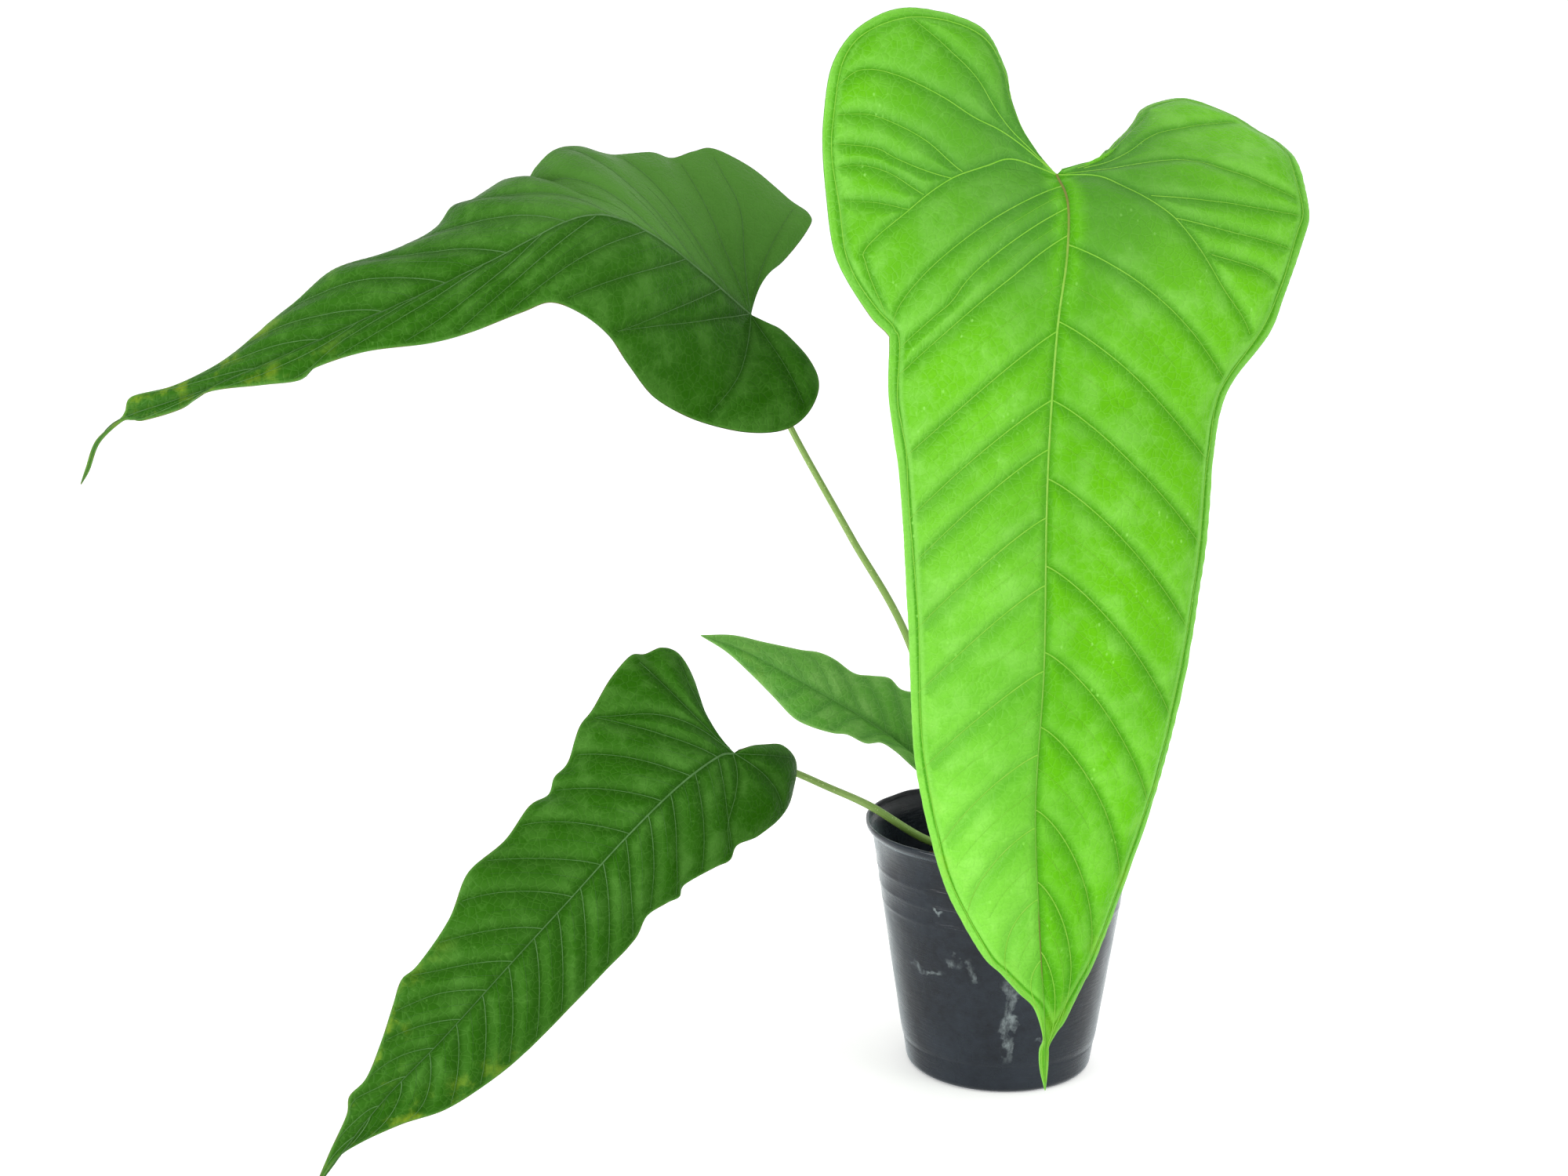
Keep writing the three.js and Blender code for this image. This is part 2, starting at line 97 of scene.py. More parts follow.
class PotSettings(bpy.types.PropertyGroup):
    height: length("Height", "From the surface to the rim", box_size("nursery_pot").z)
    rim_radius: length("Rim radius", "Outer radius of the lip", box_size("nursery_pot").x / 2)
    base_radius: length("Base radius", "Outer radius of the wall at the floor", 41 * MM)
    wall: length("Wall", "Thickness of the moulded wall", 1.3 * MM)
    floor: length("Floor", "Thickness of the pot's floor", 2 * MM)
    corner: length("Corner", "Rounding of the base", 3 * MM)
    foot_height: length("Foot height", "Height of the narrower band above the base", 12 * MM)
    foot_step: length("Foot step", "How far the band stands in", 0.4 * MM)
    lip_height: length("Lip height", "The rim flares out over this height", 5 * MM)
    lip_reach: length("Lip reach", "How far the lip flares out", 2.8 * MM)
    ring_count: IntProperty(name="Rings", description="Low beads around the wall", default=3, min=0)
    ring_drop: length("Ring drop", "From the rim to the first bead", 19 * MM)
    ring_pitch: length("Ring pitch", "From bead to bead", 8 * MM)
    ring_height: length("Ring height", "Height of one bead", 2 * MM)
    ring_rise: length("Ring rise", "How far a bead stands out", 0.16 * MM)
    drain_count: IntProperty(name="Drain holes", description="Holes in the floor", default=6, min=1)
    drain_radius: length("Drain radius", "Radius of a drain hole", 4.5 * MM)
    drain_circle: length("Drain circle", "Radius of the circle of holes", 27 * MM)
    dent: length("Dents", "How uneven the soft lip has become", 0.8 * MM)
    plastic: colour("Plastic", "Blue-black moulded plastic", "090b10")
    worn: colour("Worn plastic", "Where it is scuffed and dusty", "232a32")
    # painted reflection: mixed into the wall's colour where it is seen edge-on
    painted_sheen: colour("Sheen", "Blue-grey look of the wall seen along it", "8b999f")
    scale: colour("Water scale", "Dried lime from watering", "7b8586")


class MixSettings(bpy.types.PropertyGroup):
    drop: length("Drop", "From the rim down to the mix at the wall", 28 * MM)
    mound: length("Mound", "Rise from the wall to the crown", 3 * MM)
    chips: IntProperty(name="Bark chips", description="Loose pieces on top", default=330, min=0)
    chip_size: length("Chip size", "Mean length of a bark chip", 5.5 * MM)
    pumice: IntProperty(name="Pumice", description="Pale grains on top", default=46, min=0)
    dark: colour("Damp mix", "The mix in its hollows", "1d150f")
    pale: colour("Dry mix", "The mix on its crumbs", "4b3a29")
    bark: colour("Bark", "Bark chips", "5a3c26")
    moss: colour("Moss", "Green film on the mix", "3a4422")
    grain: colour("Pumice", "Pale grains", "a8a294")


class CrownSettings(bpy.types.PropertyGroup):
    rise: length("Rise", "Height above the mix", 5 * MM)
    depth: length("Depth", "How deep it sits in the mix", 7 * MM)
    flare: length("Flare", "How far its buried part spreads", 2.5 * MM)
    cap: length("Cap", "Rim around the stalks", 0.8 * MM)
    skin: colour("Skin", "Green living skin", "5f6e30")
    scar: colour("Scars", "Old brown leaf scars", "5b4429")
    sheath: colour("Sheath", "Dry papery sheaths", "8a6a43")
    root: colour("Root", "Short roots into the mix", "8c8a5e")


class StalkSettings(bpy.types.PropertyGroup):
    base_radius: length("Base radius", "Radius at the crown", 2 * MM)
    tip_radius: length("Tip radius", "Radius at the blade", 1.2 * MM)
    gap: length("Gap", "Between neighbouring stalks at the crown", 0.6 * MM)
    upright: length("Upright", "Straight part at the foot", 3 * MM)
    approach: length("Approach", "Straight part behind the blade", 7 * MM)
    swelling: share("Swelling", "How much thicker it is behind the blade", 0.3)
    foot: colour("Foot", "Green near the crown", "74983a")
    body: colour("Body", "Green further up", "7c9850")
    shade: colour("Shade", "Darker streaks along it", "5c7c30")
    fleck: colour("Flecks", "Small pale flecks", "b3c487")


class BladeSettings(bpy.types.PropertyGroup):
    thickness: length("Thickness", "Of a blade between its veins", 0.45 * MM)
    spacing: length("Spacing", "Between the mesh's ribs along the margin", 1.1 * MM, 0.5 * MM)
    quilting: length("Quilting", "How far the panels bulge between the veins", 1.6 * MM)
    panel: length("Panel", "From a vein to the top of its panel", 7.5 * MM)
    band: length("Margin band", "Width of the band outside the outer vein", 4.2 * MM)
    turn: length("Margin turn", "How far that band turns back", 1.7 * MM)
    ripple: length("Ripple", "Gentle unevenness of the whole blade", 0.8 * MM)
    cord: length("Margin cord", "Radius of the thickened edge", 0.27 * MM)
    # bloom colours also paint sheen and highlights; hollows colours also paint shade by the veins
    young: colour("Young blade", "Fresh green of the newest leaf", "559e06")
    young_deep: colour("Young hollows", "Beside its veins", "3a7d08")
    young_pale: colour("Young bloom", "Where it is palest", "77b54c")
    mature: colour("Mature blade", "Dark green of the old leaves", "225204")
    mature_deep: colour("Mature hollows", "Beside their veins", "1b4503")
    mature_pale: colour("Mature bloom", "Where they are palest", "4b7a30")
    middle: colour("Middle blade", "Green of the small leaf", "4d882c")
    middle_deep: colour("Middle hollows", "Beside its veins", "42782a")
    middle_pale: colour("Middle bloom", "Where it is palest", "7aa65a")
    yellow: colour("Yellowing", "Spots near an old margin", "869a1e")
    brown: colour("Brown", "Rib by the stalk, and bruised edges", "5e4322")
    # painted shade around the junction
    shade: colour("Young throat", "Greyer green around the junction", "35602a")
    rib: colour("Rib", "Midrib and strong veins", "8fae4c")
    old_rib: colour("Old rib", "Midrib and strong veins of the old leaves", "6f9562")
    back: colour("Underside", "Paler, duller back", "6f9450")


class StageSettings(bpy.types.PropertyGroup):
    floor: colour("Floor", "Plain pale floor", "f6f6f5")
    sky: FloatProperty(name="Sky", description="Brightness all round", default=1.2, min=0.0)
    key: FloatProperty(name="Key", description="Large soft light, watts", default=20.0, min=0.0)
    fill: FloatProperty(name="Fill", description="Second soft light, watts", default=9.0, min=0.0)
    glow: FloatProperty(name="Glow", description="Light given off by the floor", default=0.22, min=0.0)
    lens: FloatProperty(name="Lens", description="Focal length, mm", default=50.0, min=10.0)


class PlantSettings(bpy.types.PropertyGroup):
    pot: PointerProperty(type=PotSettings)
    mix: PointerProperty(type=MixSettings)
    crown: PointerProperty(type=CrownSettings)
    stalk: PointerProperty(type=StalkSettings)
    blade: PointerProperty(type=BladeSettings)
    stage: PointerProperty(type=StageSettings)


# ---------------------------------------------------------------- the leaves
# These rows were not drawn freely: points were placed by eye in one view, given a chosen depth, and
# turned into millimetres by a calculation outside this file, which also gave the veins' shares. Some
# were then moved.
# All points are millimetres. A junction and the stalk's points are measured from the middle of the
# mix's surface, and the other points from the junction. A margin row is (how far down the midrib its
# rib starts, x, y, z). `arch` is how far a half bulges upwards and `bow` how far the lobe's ribs bend
# away from the notch. Veins are (strength, (share along the margin, share across the half), ...),
# and `laterals` are the places on the midrib where side veins leave. A side vein has moved on by
# `sweep`'s first number when it ends, plus its second times the place, bent by the power that is third.
LEAVES = {
    "front": {
        "age": "young", "slot": "young_leaf",
        "length": 371, "junction": (9, -70, 303), "facing": (0, -1, 0.3),
        "stalk": [(3, -5, 60), (7, -9, 150), (12, -24, 230), (14, -44, 276)],
        "midrib": [
            (0, 0, 0), (3, -12, -11), (2, -21, -31), (-2, -28, -60), (-5, -34, -113),
            (-5, -36, -186), (-7, -35, -242), (-4, -33, -293), (-1, -31, -331), (0, -30, -361),
        ],
        "bow": 0.22, "lobe": 0.42,
        "left": {
            "arch": 0.1,
            "margin": [
                (0, -2, 0, 2), (0, -10, 2, 7), (0, -16, 4, 16), (0, -17, 6, 27), (0, -19, 10, 41),
                (0, -29, 13, 57), (0, -55, 15, 64), (0, -74, 14, 58), (0, -86, 10, 43),
                (0, -90, 6, 19), (0.01, -89, 1, -6), (0.04, -85, -5, -31), (0.08, -73, -11, -52),
                (0.095, -66, -14, -59.5), (0.11, -65, -15, -63), (0.17, -65, -18, -82),
                (0.23, -63, -20, -99), (0.29, -61, -22, -115), (0.41, -58, -24, -154),
                (0.52, -56, -24, -191), (0.63, -54, -24, -226), (0.73, -47, -25, -258),
                (0.8, -39, -26, -283), (0.86, -26, -28, -306), (0.885, -18, -29, -314),
                (0.9, -11, -30, -321), (0.915, -5, -30, -327), (0.94, -1.3, -30, -338.5),
                (0.955, -2.6, -30, -344), (0.98, -2.2, -30, -352), (1, 0, -30, -361),
            ],
            "veins": [
                (0.7, (0.167, 0), (0.181, 0.31), (0.181, 0.61), (0.192, 0.8), (0.204, 0.94)),
                (0.9, (0.175, 0), (0.192, 0.26), (0.215, 0.4), (0.225, 0.55), (0.243, 0.75),
                 (0.258, 0.87), (0.275, 0.94)),
                (1.0, (0.242, 0), (0.256, 0.16), (0.297, 0.29), (0.321, 0.45), (0.346, 0.65),
                 (0.365, 0.86), (0.375, 0.89), (0.408, 0.93)),
                (0.6, (0.312, 0.4), (0.286, 0.54), (0.282, 0.75), (0.292, 0.94)),
                (0.6, (0.321, 0.45), (0.308, 0.68), (0.304, 0.77), (0.308, 0.95)),
                (0.5, (0.336, 0.58), (0.321, 0.7), (0.317, 0.82), (0.321, 0.95)),
                (0.4, (0.346, 0.65), (0.34, 0.78), (0.338, 0.94)),
                (0.4, (0.125, 0), (0.138, 0.4), (0.142, 0.85)),
            ],
            "sweep": (0.07, 0.08, 1.2),
            "laterals": [0.02, 0.05, 0.08, 0.18, 0.25, 0.3, 0.37, 0.44, 0.53, 0.62, 0.7, 0.78, 0.85],
        },
        "right": {
            "arch": 0.16,
            "margin": [
                (0, 2, 0, 2), (0, 9, 4, 4), (0, 19, 12, 7), (0, 25, 24, 13), (0, 33, 35, 20),
                (0, 41, 48, 28), (0, 59, 60, 32), (0, 76, 58, 27), (0, 87, 50, 20), (0, 96, 40, 13),
                (0, 100, 28, 5), (0.01, 101, 12, -13), (0.03, 98, 5, -24), (0.07, 89, -6, -45),
                (0.11, 83, -10, -60), (0.16, 70, -14, -77), (0.2, 65, -15, -88),
                (0.25, 62, -16, -105), (0.35, 60, -18, -139), (0.46, 56, -18, -177),
                (0.56, 51, -18, -210), (0.67, 42, -18, -246), (0.76, 32, -20, -279),
                (0.85, 20, -24, -310), (0.91, 9, -28, -331), (0.935, 4.5, -29, -337),
                (0.95, 1.2, -30, -342), (0.965, 1, -30, -346), (0.98, 0.8, -30, -352),
                (1, 0, -30, -361),
            ],
            "veins": [
                (0.7, (0.224, 0), (0.224, 0.26), (0.211, 0.49), (0.227, 0.67), (0.258, 0.9)),
                (0.8, (0.278, 0), (0.287, 0.41), (0.341, 0.6), (0.359, 0.77), (0.372, 0.93)),
                (1.0, (0.346, 0), (0.357, 0.15), (0.406, 0.31), (0.426, 0.44), (0.446, 0.6),
                 (0.468, 0.73), (0.489, 0.9)),
                (0.6, (0.399, 0.33), (0.39, 0.62), (0.39, 0.94)),
                (0.6, (0.424, 0.43), (0.424, 0.68), (0.424, 0.95)),
                (0.5, (0.441, 0.61), (0.441, 0.84), (0.446, 0.95)),
                (0.4, (0.179, 0), (0.17, 0.5), (0.179, 0.85)),
            ],
            "sweep": (0.06, 0.2, 1.3),
            "laterals": [0.09, 0.17, 0.25, 0.33, 0.42, 0.51, 0.59, 0.68, 0.76, 0.84],
        },
    },
    "lower": {
        "age": "mature", "slot": "mature_leaf",
        "length": 247, "junction": (-117, -35, 64), "facing": (0.1, -0.7, 0.7),
        "stalk": [
            (-8, -3, 12), (-32, -4, 16), (-57.8, -5.1, 32), (-77, 2, 39), (-93, 6, 45),
            (-104, 0, 49),
        ],
        "midrib": [
            (0, 0, 0), (-7, -7, 0), (-23, -25, -8), (-43, -43, -24), (-64, -59, -44),
            (-86, -75, -65), (-111, -90, -90), (-135, -102, -113), (-159, -111, -143),
        ],
        "bow": 0.2, "lobe": 0.4,
        "left": {
            "arch": 0.1,
            "margin": [
                (0, -2, 1, 2), (0, -9, 7, 7), (0, -14, 13, 17), (0, -18, 19, 29), (0, -24, 23, 38),
                (0, -31, 22, 41), (0, -38, 19, 39), (0, -44, 15, 39), (0.02, -52, 7, 31),
                (0.07, -59, -3, 20), (0.11, -64, -10, 14), (0.17, -68, -20, 2),
                (0.205, -73, -26, -3), (0.24, -75, -31, -9), (0.28, -82, -37, -12),
                (0.34, -91, -47, -23), (0.415, -104, -61, -32), (0.49, -111, -69, -49),
                (0.58, -122, -79, -64), (0.62, -128, -83, -69), (0.66, -131, -87, -78),
                (0.74, -135, -94, -91), (0.8, -140, -99, -103), (0.84, -146, -102, -109),
                (0.87, -147, -104, -116), (0.94, -153, -108, -129), (1, -159, -111, -143),
            ],
            "veins": [
                (0.6, (0.124, 0), (0.142, 0.5), (0.159, 0.92)),
                (0.9, (0.212, 0), (0.23, 0.4), (0.265, 0.92)),
                (0.9, (0.265, 0), (0.292, 0.35), (0.354, 0.93)),
            ],
            "sweep": (0.04, 0.05, 1.3),
            "laterals": [
                0.04, 0.11, 0.18, 0.26, 0.33, 0.4, 0.47, 0.54, 0.6, 0.66, 0.72, 0.78, 0.84, 0.9,
            ],
        },
        "right": {
            "arch": 0.14,
            "margin": [
                (0, 2, 1, 1), (0, 10, 11, 1), (0, 20, 23, -2), (0, 26, 29, -10), (0, 26, 26, -20),
                (0, 22, 15, -30), (0.03, 11, 1, -36), (0.07, 2, -10, -37), (0.095, -1, -15, -42),
                (0.12, -7, -22, -43), (0.18, -19, -32, -47), (0.2, -21, -36, -51),
                (0.23, -26, -41, -52), (0.275, -34, -48, -55), (0.32, -39, -53, -63),
                (0.38, -49, -61, -72), (0.48, -64, -72, -85), (0.58, -80, -82, -99),
                (0.67, -95, -90, -109), (0.76, -111, -97, -117), (0.82, -127, -101, -121),
                (0.88, -142, -104, -127), (0.94, -151, -108, -132), (1, -159, -111, -143),
            ],
            "veins": [
                (0.6, (0.104, 0), (0.113, 0.5), (0.13, 0.92)),
                (0.9, (0.174, 0), (0.191, 0.5), (0.217, 0.92)),
                (0.9, (0.226, 0), (0.261, 0.4), (0.339, 0.93)),
            ],
            "sweep": (0.04, 0.05, 1.3),
            "laterals": [
                0.04, 0.1, 0.16, 0.215, 0.27, 0.325, 0.38, 0.435, 0.49, 0.55, 0.61, 0.67,
                0.73, 0.79, 0.86,
            ],
        },
    },
    "upper": {
        "age": "mature", "slot": "mature_leaf",
        "length": 333, "junction": (-110, 4, 245), "facing": (0.3, -0.7, 0.65),
        "stalk": [(-16, 4, 30), (-42, 4, 105), (-67, 4, 150), (-93, 6, 197), (-105, 8, 226)],
        "midrib": [
            (0, 0, 0), (-10, -12, 9), (-22, -26, 21), (-35, -38, 32), (-52, -50, 41),
            (-67, -59, 41), (-89, -69, 31), (-121, -79, 15), (-160, -85, -2), (-200, -84, -20),
            (-223, -81, -28), (-246, -77, -36), (-256, -75, -45), (-261, -74, -56),
            (-264, -74, -62),
        ],
        "bow": 0.2, "lobe": 0.4,
        "left": {
            "arch": 0.12,
            "margin": [
                (0, 0, 1, 2), (0, 0, 8, 12), (0, 13, 18, 21), (0, 25, 32, 36), (0, 25, 37, 42),
                (0, 17, 40, 48), (0, 1, 42, 61), (0, -16, 39, 70), (0.01, -25, 34, 69),
                (0.04, -34, 28, 66), (0.06, -43, 23, 68), (0.11, -58, 15, 67), (0.15, -72, 7, 71),
                (0.19, -82, -2, 69), (0.22, -89, -8, 62), (0.24, -94, -13, 54),
                (0.26, -100, -19, 57), (0.3, -112, -29, 49), (0.33, -120, -34, 46),
                (0.37, -127, -40, 37), (0.44, -144, -52, 28), (0.51, -164, -60, 22),
                (0.57, -179, -66, 9), (0.67, -200, -74, -9), (0.73, -212, -77, -17),
                (0.79, -225, -78, -23), (0.85, -241, -77, -27), (0.88, -244, -77, -33),
                (0.905, -246.4, -77, -36.2), (0.945, -256.6, -75, -44.6),
                (0.98, -261.6, -74, -55.7), (1, -264, -74, -62),
            ],
            "veins": [
                (0.6, (0.126, 0), (0.135, 0.5), (0.15, 0.92)),
                (0.9, (0.184, 0), (0.194, 0.55), (0.216, 0.81), (0.227, 0.93)),
                (0.9, (0.227, 0), (0.252, 0.4), (0.281, 0.93)),
            ],
            "sweep": (0.05, 0.1, 1.4),
            "laterals": [0.05, 0.11, 0.18, 0.25, 0.32, 0.4, 0.48, 0.56, 0.64, 0.72],
        },
        "right": {
            "arch": 0.14,
            "margin": [
                (0, 2, -1, -2), (0, 13, -4, -6), (0, 25, -8, -18), (0, 29, -12, -29),
                (0, 24, -18, -40), (0, 14, -24, -46), (0, -2, -32, -46), (0.02, -21, -41, -40),
                (0.05, -37, -51, -30), (0.09, -47, -61, -16), (0.13, -54, -68, -4),
                (0.17, -64, -75, 5), (0.22, -76, -80, 10), (0.26, -88, -84, 6),
                (0.33, -106, -89, -1), (0.4, -122, -92, -5), (0.48, -146, -94, -8),
                (0.55, -165, -94, -14), (0.6, -172, -94, -19), (0.65, -187, -92, -21),
                (0.72, -208, -88, -24), (0.78, -220, -84, -31), (0.85, -236, -79, -36),
                (0.88, -241, -78, -36), (0.905, -245.7, -77, -36.9), (0.945, -255.4, -75, -45.4),
                (0.98, -260.4, -74, -56.3), (1, -264, -74, -62),
            ],
            "veins": [
                (0.6, (0.116, 0), (0.125, 0.5), (0.144, 0.92)),
                (0.9, (0.193, 0), (0.209, 0.27), (0.226, 0.58), (0.25, 0.92)),
                (0.9, (0.231, 0), (0.253, 0.08), (0.289, 0.27), (0.33, 0.61), (0.366, 0.92)),
            ],
            "sweep": (0.05, 0.1, 1.4),
            "laterals": [0.07, 0.14, 0.21, 0.28, 0.35, 0.43, 0.51, 0.59, 0.67, 0.75],
        },
    },
    "small": {
        "age": "middle", "slot": "mid_leaf",
        "length": 136, "junction": (-21, 34, 31), "facing": (0.1, -0.7, 0.7),
        "stalk": [(1, 9, 10), (-7, 20, 17), (-15, 29, 22)],
        "midrib": [
            (0, 0, 0), (-16, 8, 12), (-39, 18, 27), (-68, 28, 42), (-93, 36, 54), (-114, 40, 61),
        ],
        "bow": 0.1, "lobe": 0.3,
        "left": {
            "arch": 0.12,
            "margin": [
                (0, 1, 1, 2), (0, 7, 6, 11), (0, 14, 13, 23), (0, 13, 20, 32), (0, 3, 24, 37),
                (0.08, -10, 26, 37), (0.17, -20, 27, 38), (0.24, -26, 29, 43), (0.31, -34, 30, 44),
                (0.38, -42, 31, 45), (0.46, -51, 33, 51), (0.54, -59, 35, 54), (0.61, -68, 36, 55),
                (0.75, -84, 38, 58), (0.88, -99, 40, 61), (1, -114, 40, 61),
            ],
            "veins": [
                (0.6, (0.1, 0), (0.12, 0.5), (0.15, 0.92)),
                (0.8, (0.2, 0), (0.23, 0.5), (0.28, 0.92)),
            ],
            "sweep": (0.05, 0.1, 1.4),
            "laterals": [0.07, 0.17, 0.27, 0.38, 0.49, 0.6, 0.72],
        },
        "right": {
            "arch": 0.12,
            "margin": [
                (0, 2, -2, 1), (0, 10, -9, 4), (0, 14, -14, 5), (0, 11, -18, 3), (0, 4, -18, 1),
                (0.05, -6, -15, 3), (0.12, -17, -10, 11), (0.19, -25, -4, 17), (0.25, -31, 0, 20),
                (0.32, -38, 3, 19), (0.4, -46, 7, 22), (0.46, -53, 10, 22), (0.55, -63, 14, 24),
                (0.62, -71, 19, 27), (0.72, -80, 26, 35), (0.81, -91, 32, 45), (0.91, -102, 37, 54),
                (1, -114, 40, 61),
            ],
            "veins": [
                (0.6, (0.1, 0), (0.12, 0.5), (0.14, 0.92)),
                (0.8, (0.18, 0), (0.2, 0.5), (0.25, 0.92)),
            ],
            "sweep": (0.05, 0.1, 1.4),
            "laterals": [0.07, 0.17, 0.27, 0.38, 0.49, 0.6, 0.72],
        },
    },
}
SIDES = ("left", "right")


def half_of(side):
    """The value of the blades' "half" attribute: 0 on the left half and 1 on the right."""
    return float(SIDES.index(side))


# ---------------------------------------------------------------- mesh helpers
def spline(points, shares):
    """Points on a smooth curve through the given ones, at shares of the whole from 0 to 1."""
    points = np.asarray(points, float)
    last = len(points) - 1
    travel = np.clip(np.asarray(shares, float), 0, 1) * last
    i = np.minimum(np.floor(travel).astype(int), last - 1)
    w = (travel - i)[:, None]
    padded = np.vstack([2 * points[0] - points[1], points, 2 * points[-1] - points[-2]])
    p0, p1, p2, p3 = padded[i], padded[i + 1], padded[i + 2], padded[i + 3]
    v0, v1 = (p2 - p0) / 2, (p3 - p1) / 2
    cube, square = 2 * p1 - 2 * p2 + v0 + v1, 3 * p2 - 3 * p1 - 2 * v0 - v1
    return cube * w ** 3 + square * w ** 2 + v0 * w + p1


def travelled(points):
    """Distance along a polyline at each of its points."""
    steps = np.linalg.norm(np.diff(points, axis=0), axis=1)
    return np.concatenate([[0], np.cumsum(steps)])


def unit(vectors):
    return vectors / np.maximum(np.linalg.norm(vectors, axis=-1, keepdims=True), 1e-12)


def smooth_step(value):
    value = np.clip(value, 0, 1)
    return value * value * (3 - 2 * value)


class Build:
    """Collects corners, faces, face materials and point attributes, and makes one mesh object."""

    def __init__(self, *attributes):
        self.corners = []
        self.faces = []
        self.materials = []
        self.attributes = {name: [] for name in attributes}
        self.count = 0

    def points(self, corners, **values):
        """Adds corners, in millimetres, and returns their numbers."""
        corners = np.asarray(corners, float).reshape(-1, 3)
        self.corners.append(corners)
        for name, stored in self.attributes.items():
            value = np.asarray(values.get(name, 0.0), float)
            stored.append(np.broadcast_to(value.reshape(-1) if value.ndim else value, len(corners)))
        first = self.count
        self.count += len(corners)
        return np.arange(first, self.count)

    def face(self, corners, material=0):
        self.faces.append(tuple(int(c) for c in corners))
        self.materials.append(material)

    def grid(self, rows, material=0, closed=False, turned=False):
        """Faces between rows of corner numbers, a closed one joining its last column to its first."""
        rows = np.asarray(rows)
        after = np.roll(rows, -1, axis=1) if closed else rows[:, 1:]
        before = rows if closed else rows[:, :-1]
        quads = np.stack([before[:-1], after[:-1], after[1:], before[1:]], -1).reshape(-1, 4)
        if turned:
            quads = quads[:, ::-1]
        for quad in quads.tolist():
            corners = [c for k, c in enumerate(quad) if c != quad[k - 1]]
            if len(corners) > 2:
                self.faces.append(tuple(corners))
                self.materials.append(material)

    def object(self, name, materials, sharp=None):
        mesh = bpy.data.meshes.new(name)
        mesh.from_pydata((np.vstack(self.corners) * MM).tolist(), [], self.faces)
        mesh.polygons.foreach_set("material_index", self.materials)
        for key, stored in self.attributes.items():
            layer = mesh.attributes.new(key, "FLOAT", "POINT")
            layer.data.foreach_set("value", np.concatenate(stored).astype(np.float32))
        for material in materials:
            mesh.materials.append(material)
        mesh.update()
        mesh.shade_smooth()
        if sharp is not None:
            mesh.set_sharp_from_angle(angle=math.radians(sharp))
        piece = bpy.data.objects.new(name, mesh)
        bpy.context.scene.collection.objects.link(piece)
        return piece


def tube(build, path, radii, sides, material=0, ends=True, **values):
    """A round tube along a path, with rounded ends. Values given per path point are spread around."""
    path = np.asarray(path, float)
    tangents = unit(np.gradient(path, axis=0))
    side = np.cross(tangents[0], (0.3, 0.9, 0.31))
    normals = [side / np.linalg.norm(side)]
    for tangent in tangents[1:]:
        carried = normals[-1] - (normals[-1] @ tangent) * tangent
        normals.append(carried / np.linalg.norm(carried))
    normals = np.array(normals)
    crosses = np.cross(tangents, normals)
    angles = np.linspace(0, 2 * math.pi, sides, endpoint=False)
    ring = np.cos(angles)[:, None] * normals[:, None] + np.sin(angles)[:, None] * crosses[:, None]
    radii = np.broadcast_to(radii, (len(path),)) if np.ndim(radii) < 2 else radii
    corners = path[:, None] + ring * (radii[:, None, None] if radii.ndim == 1 else radii[..., None])
    spread = {k: np.repeat(v, sides) if np.ndim(v) else v for k, v in values.items()}
    rows = build.points(corners, **spread).reshape(len(path), sides)
    build.grid(rows, material, closed=True)
    if ends:
        mean = radii if radii.ndim == 1 else radii.mean(axis=1)
        ends = [path[0] - tangents[0] * mean[0] * 0.5, path[-1] + tangents[-1] * mean[-1] * 0.5]
        for row, end, turned, k in ((rows[0], ends[0], True, 0), (rows[-1], ends[1], False, -1)):
            tip = {key: (v[k] if np.ndim(v) else v) for key, v in values.items()}
            middle = build.points(end, **tip)[0]
            for a, b in zip(row, np.roll(row, -1)):
                build.face((b, a, middle) if turned else (a, b, middle), material)
    return rows


def turned_profile(build, profile, sides, shape=None, material=0, **values):
    """A profile of (radius, height) turned around Z. `shape` may move the corners."""
    angles = np.linspace(0, 2 * math.pi, sides, endpoint=False)
    rows = []
    for radius, height in profile:
        if radius < 1e-6:
            number = build.points((0, 0, height), **values)[0]
            rows.append(np.full(sides, number))
            continue
        across, along = radius * np.cos(angles), radius * np.sin(angles)
        ring = np.stack([across, along, np.full(sides, height)], -1)
        rows.append(build.points(shape(ring) if shape else ring, **values))
    build.grid(rows, material, closed=True)
    return rows


def wander(point, size, seed=0.0):
    """Smooth noise from -1 to 1 at a point, whose features are about `size` across."""
    return noise.noise(Vector(point) / size + Vector((seed, seed * 0.37, -seed)))


def finish_piece(piece, node):
    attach(piece, "root")
    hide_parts(node)


